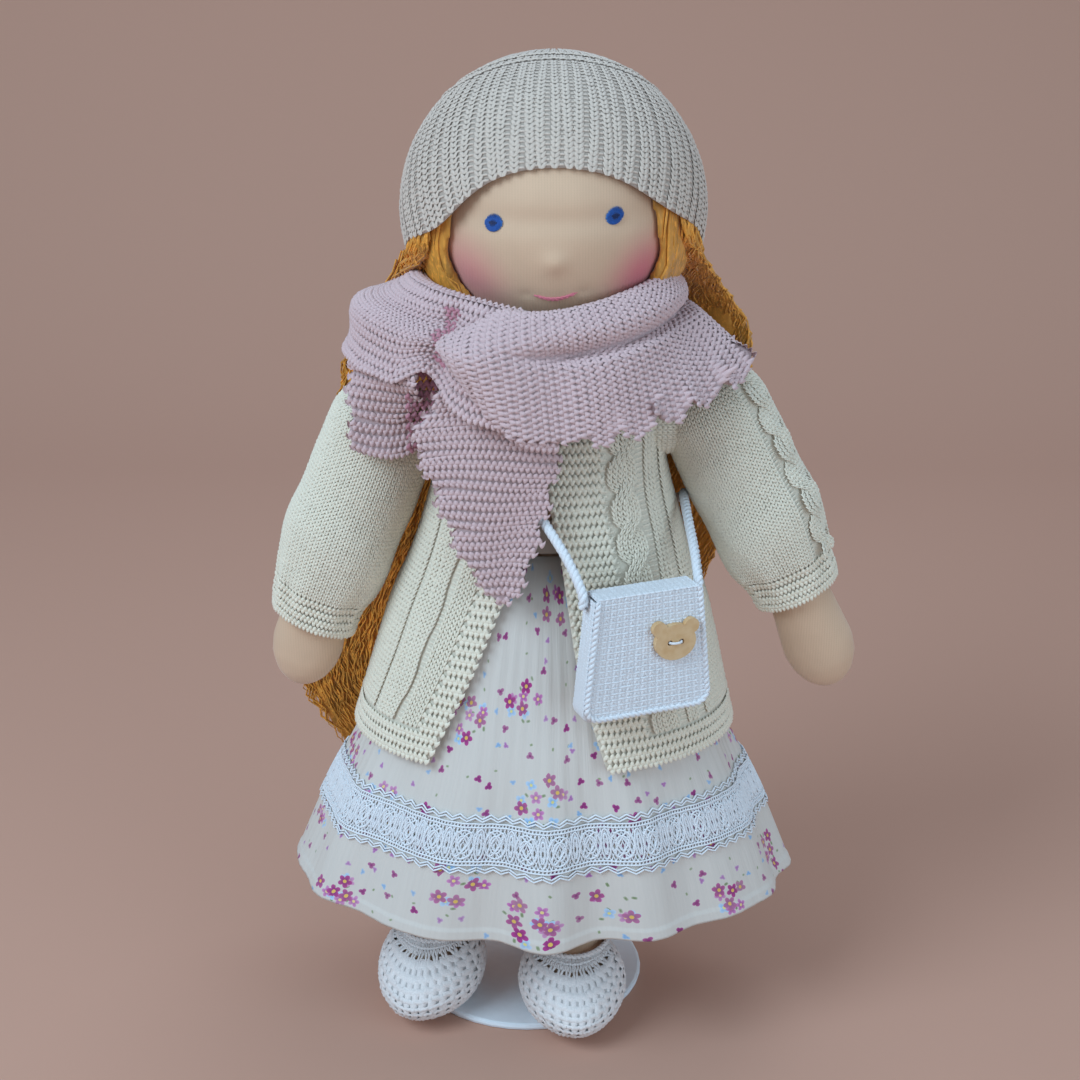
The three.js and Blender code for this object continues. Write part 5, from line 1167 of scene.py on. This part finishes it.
class DOLL_OT_hair(bpy.types.Operator):
    """Lays the mohair cap and its long wavy locks"""
    bl_idname = "doll.hair"
    bl_label = "Hair"

    def execute(self, context):
        tone = context.scene.doll_settings.hair
        # the cap and hair body under the strands take a darker copy of the locks' tones: painted shade between the
        # strands
        base = mohair("brushed_mohair_shaded_base", *(shade(tone, depth) for depth in (1.0, 0.8, 0.5)))
        locks = mohair("brushed_mohair_locks", *(shade(tone, depth) for depth in (1.35, 1.05, 0.7)))
        cap = settle(softened("wig_cap", "hair_cap", base, 2.1, 3), "doll", "mohair", "wig_cap")
        self.comb(cap, locks)
        settle(softened("hair_fall", "hair_body", base, 2.4, 4, -1.2), "doll", "mohair", "hair_fall")
        count = 620
        for name, through, high, crowd in (("front", 0.08, 1.02, 0.6), ("back", 1.05, 1.0, 1.0)):
            off = RNG.uniform(-1.0, high, count)
            off = np.sign(off) * np.abs(off) ** crowd
            start, end = RNG.uniform(0, 0.12, count), 1 - RNG.beta(1.2, 7, count)
            down = start[:, None] + (end - start)[:, None] * np.linspace(0, 1, 40)
            drift = RNG.normal(0, 0.018, (count, 1)) * down
            self.hang(f"hair_{name}", locks, hair_surface(off[:, None] + drift, down, through), off, name == "back")
        count = 260
        for name, side in OUTWARD.items():
            brim = hat_surface(side * RNG.uniform(1.1, 1.95, count), np.full(count, 0.03), HAT_RADIUS - 4)
            off = side * RNG.uniform(0.66, 1.0, count)
            knots = [brim, brim + np.array([side * 2.0, 1.5, -11.0])]
            knots += [hair_surface(off, np.full(count, down), 0.1) for down in (0.1, 0.2, 0.33, 0.48, 0.62)]
            line = np.stack([smooth_line(one, 38) for one in np.stack(knots, 1)])
            self.hang(f"hair_side_{name}", locks, line, off, False)
        return {"FINISHED"}

    def comb(self, cap, finish):
        """Strands combed down over the cap, from the crown to its edge, and along the hairline."""
        tree = BVHTree.FromObject(cap, bpy.context.evaluated_depsgraph_get())
        middle, lines = Vector(HEAD * MM), []

        def strand(places):
            if len(places) > 5:
                lines.append(smooth_line(np.array(places), 26))

        for turn in circle(620) + RNG.normal(0, 0.01, 620):
            places, shift = [], RNG.uniform(-0.25, 0.25)
            for rise in np.linspace(1.3, -1.05, 40):
                sway = turn + 0.035 * math.sin(9 * rise + 5 * turn) + shift * 0.15 * (1.3 - rise)
                way = Vector((math.cos(rise) * math.sin(sway), -math.cos(rise) * math.cos(sway), math.sin(rise)))
                spot = tree.ray_cast(middle + way * 0.09, -way, 0.044)[0]
                if spot is not None:
                    places.append(np.array(spot + way * 0.0005) / MM)
                elif places:
                    break
            strand(places)
        for lane in np.linspace(-1, 1, 150):
            side, places = math.copysign(1, lane), []
            for z in np.linspace(22, -44, 34):
                edge = math.sqrt(HEAD_HALF[0] ** 2 - z * z) * (1 - 0.06 * smooth(-10, -40, z))
                x = HEAD[0] + side * (edge - 0.5 + 9.5 * abs(lane) + 0.7 * math.sin(z / 4 + 30 * lane))
                spot = tree.ray_cast(Vector((x, -120, HEAD[2] + z)) * MM, Vector((0, 1, 0)), 0.13)[0]
                if spot is not None:
                    places.append(np.array(spot) / MM - [0, 0.4, 0])
            strand(places)
        points, faces = strand_tubes(lines, RNG.uniform(0.4, 0.8, len(lines)), 3)
        settle(mesh_piece("combed_hair", points, faces, finish), "doll", "mohair")

    def hang(self, name, finish, line, off, behind):
        """Waves the strands together in 19 locks from the middle to each side, and makes them one piece."""
        count = len(line)
        lock = np.floor(off * 19)
        phase = lock * 2.4 + RNG.normal(0, 0.3, count)
        far = np.stack([far_along(one) for one in line])
        size = (1.3 + 0.4 * np.sin(lock * 2.9) + RNG.normal(0, 0.2, count))[:, None] * smooth(0, 14, far)
        angle = 2 * math.pi * far / (15 + 2 * np.sin(lock * 1.7))[:, None] + phase[:, None]
        aside = size * np.sin(angle) + RNG.normal(0, 0.5, (count, 1))
        loose = np.abs(RNG.normal(0.3, 0.6, (count, 1))) * (1 if behind else -0.35)
        back = (0.7 if behind else 0.35) * size * np.cos(angle) + loose
        points, faces = strand_tubes(line + np.stack([aside, back, 0 * far], -1), RNG.uniform(0.3, 0.62, count), 3)
        settle(mesh_piece(name, points, faces, finish), "doll", "mohair")


class DOLL_OT_shawl(bpy.types.Operator):
    """Knits the shawl in garter stitch: the loop, the upper layer, and the two tails"""
    bl_idname = "doll.shawl"
    bl_label = "Shawl"

    def execute(self, context):
        settings = context.scene.doll_settings
        # merino wool in garter stitch: matt dusty pink, with shadow between its ridges, partly painted shade in the
        # darker lining behind them
        wool = yarn("merino_yarn_shawl", settings.shawl, 0.88)
        # the lining is a darker copy of the shawl wool: painted shade between the ridges
        inside = yarn("merino_yarn_shawl_shaded_inside", shade(settings.shawl, 0.82), 0.88)
        # a darker rose yarn that paints shade: in the crease beside the knot, and as a patch in the gap under the knot
        rose = yarn("merino_yarn_shawl_painted_shade", "#cb8b98", 0.8)
        loop = lambda u, v: loop_surface(u, -v)
        front = lambda u, v: wrap_end(u, -v)
        lined = lambda name, surface, grid, near, far, *wrap: wall(
            name, offset(surface, *grid, near), offset(surface, *grid, far), inside, *wrap)
        ups = np.linspace(-1, 0, 26)
        shawl = lined("shawl_wrap", loop, np.meshgrid(circle(216, -math.pi), ups), -0.9, -3.0, True)
        settle(shawl, "doll", "shawl_wool", "shawl")
        pieces = [lined("shawl_fold", front, np.meshgrid(np.linspace(WRAP_END + 0.01, 0.15, 40), ups), -0.7, -2.6)]
        ridges, share = 97, np.linspace(0, 1, 80)
        u, v = np.concatenate([along_line(front, start + 0.12 * (share - 0.5), -share, STITCH)
                               for start in circle(ridges, -math.pi) + math.pi / ridges
                               if start > WRAP_END + 0.02], 1)
        wide = spacing(front, u, v, ridges / (2 * math.pi)) * 1.02
        middle, across, along, out = frames(front, u, v, wide, STITCH, 1.15, -0.4)
        groups = [(GARTER, middle, -along, across, out)]
        u, v = along_line(front, np.linspace(WRAP_END + 0.1, 0.05, 80), np.full(80, -1.0), STITCH)
        middle, *reach = frames(front, u, v, STITCH, 3.6, 1.2, -1.6)
        groups.append((GARTER, middle + [0, 0, -2.2], *reach))
        pieces.append(lay("shawl_upper_garter", wool, groups))
        rows = 15
        u, v = in_rows(loop, np.linspace(-math.pi, -0.2, 300), rows)
        tall = height_of(loop, u, v, 1 / rows)
        # the stitches in the crease beside the knot take the darker rose yarn, as painted shade
        painted_crease_shade = (np.abs(u - WRAP_END + 0.03) < 0.045) & (v < -0.22) & (v > -0.85)
        for name, finish, lift, where in (("loop", wool, -0.4, ~painted_crease_shade), ("crease", rose, -0.6, painted_crease_shade)):
            stitches = sew(GARTER, loop, u, v, STITCH, tall, 1.15, lift, where)
            pieces.append(lay(f"shawl_{name}_garter", finish, [stitches]))
        pieces += self.tail("shawl_front_tail", tail_surface, 22, 85, wool, inside)
        # a patch of darker rose yarn under the knot, which paints the shade in the gap there
        shade_patch = lambda u, v: np.stack([u, -57 - 0.06 * (u + 36) ** 2, v], -1)
        u, v = (a.ravel() for a in np.meshgrid(np.arange(-43, -26, STITCH), np.arange(262, 296, RIDGE)))
        pieces.append(lay("shawl_painted_shade_under_knot", rose, [sew(GARTER, shade_patch, u, v, STITCH, RIDGE, 1.1)]))
        for piece in pieces:
            settle(piece, "doll", "shawl_wool")
        side = self.tail("shawl_side_tail", side_tail_surface, 8, 33, wool, inside)
        for piece in side:
            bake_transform(piece)
        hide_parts("shawl_side_tail")
        return {"FINISHED"}

    def tail(self, name, surface, rows, long, wool, inside):
        """A hanging tail: its lining, and its garter ridges laid across it, in front and behind."""
        place = lambda u, v: surface(u, -v)
        back = lambda u, v: surface(-u, -v) + [0, 2.9, 0]
        grid = np.meshgrid(np.linspace(-0.96, 0.96, 26), np.linspace(-0.985, -0.0, 60))
        lined = wall(f"{name}_lining", offset(place, *grid, -0.8), offset(place, *grid, -2.4), inside)
        u, v = in_rows(place, np.linspace(-1, 1, 60), rows)
        groups = [sew(GARTER, place, u, v, STITCH, long / rows, 1.15, -0.3),
                  sew(GARTER, back, -u, v, STITCH, long / rows, 0.8, 0.0)]
        return [lined, lay(f"{name}_garter", wool, groups)]


class DOLL_OT_shoes(bpy.types.Operator):
    """Crochets the slippers in rounds, with a round of eyelets below the edge"""
    bl_idname = "doll.shoes"
    bl_label = "Slippers"

    def execute(self, context):
        tone = context.scene.doll_settings.slippers
        # crochet cotton, worked open: off-white, with painted shade in its holes, where the darker lining shows
        cotton = yarn("crochet_cotton_slipper", tone, 0.86, 0.5, 0.5)
        # the lining is a darker copy of the slipper cotton: painted shade in the holes
        inside = yarn("crochet_cotton_slipper_shaded_inside", shade(tone, 0.66), 0.85, 0.5, 0.5)
        columns, rounds, shut, eyelets = 32, 8, 0.83, 22
        step = 2 * math.pi / columns
        for side in ("left", "right"):
            surface = lambda u, v, inset=0.0: shoe_surface(side, u, v, inset)
            place = lambda piece, *nodes: settle(piece, f"leg_{side}", "shoe_cotton", *nodes)

            def worked(stitch, u, v, wide, tall, thick, lift):
                width, height = spacing(surface, u, v, 1 / step) * wide, height_of(surface, u, v, tall)
                return sew(stitch, surface, u, v, width, height, thick, lift)

            grid = np.meshgrid(circle(108, -math.pi), np.linspace(0, shut, 26))
            lined = wall(f"slipper_lining_{side}", surface(*grid, 0.9), surface(*grid, 2.2), inside, True)
            place(lined, f"{side}_shoe")
            ring = surface(circle(108, -math.pi), np.full(108, 0.02), 0.7)
            sole = ring.mean(0) + (ring[None] - ring.mean(0)) * np.array([0.02, 0.5, 1.0])[:, None, None]
            sole[..., 2] = 3.45
            place(wall(f"slipper_sole_{side}", sole, sole + [0, 0, 1.6], cotton, True))
            k, j = cells(columns, rounds)
            u, v = (k + 0.06 * (j % 2)) * step, (j + 0.5) / rounds * shut
            groups = [worked(OPENWORK, u, v, 1, shut / rounds, 2.0, -0.8),
                      worked(KNIT, circle(eyelets), np.full(eyelets, shut + 0.037), 0.95, 0.085, 1.4, -0.8)]
            u = np.arange(0, columns, 0.7) * step
            groups += [worked(CROCHET, u, np.full(len(u), share), 0.72, 0.055, 1.3, -0.6) for share in (0.92, 0.965)]
            place(lay(f"slipper_{side}", cotton, groups))
            edge = surface(np.linspace(-math.pi, math.pi, 200), np.full(200, 0.99), 0.3)
            place(mesh_piece(f"slipper_edge_{side}", *twisted(edge, 2, 0.5, 0.75, 4.4), cotton))
        return {"FINISHED"}


class DOLL_PT_panel(bpy.types.Panel):
    """The doll's pieces, in the order in which they are made"""
    bl_idname = "DOLL_PT_panel"
    bl_label = "Waldorf doll"
    bl_space_type = "VIEW_3D"
    bl_region_type = "UI"
    bl_category = "Waldorf doll"

    def draw(self, context):
        for name in DollSettings.__annotations__:
            self.layout.prop(context.scene.doll_settings, name)
        for step in STEPS:
            self.layout.operator(step.bl_idname)


STEPS = (DOLL_OT_stage, DOLL_OT_stand, DOLL_OT_body, DOLL_OT_face, DOLL_OT_hair, DOLL_OT_hat, DOLL_OT_dress,
         DOLL_OT_cardigan, DOLL_OT_shawl, DOLL_OT_shoes, DOLL_OT_bag)
CLASSES = (DollSettings, *STEPS, DOLL_PT_panel)


def register():
    for kind in CLASSES:
        bpy.utils.register_class(kind)
    bpy.types.Scene.doll_settings = bpy.props.PointerProperty(type=DollSettings)


def unregister():
    del bpy.types.Scene.doll_settings
    for kind in reversed(CLASSES):
        bpy.utils.unregister_class(kind)


def main():
    register()
    for step in STEPS:
        group, name = step.bl_idname.split(".")
        getattr(getattr(bpy.ops, group), name)()
    bpy.context.view_layer.update()


if __name__ == "__main__":
    main()
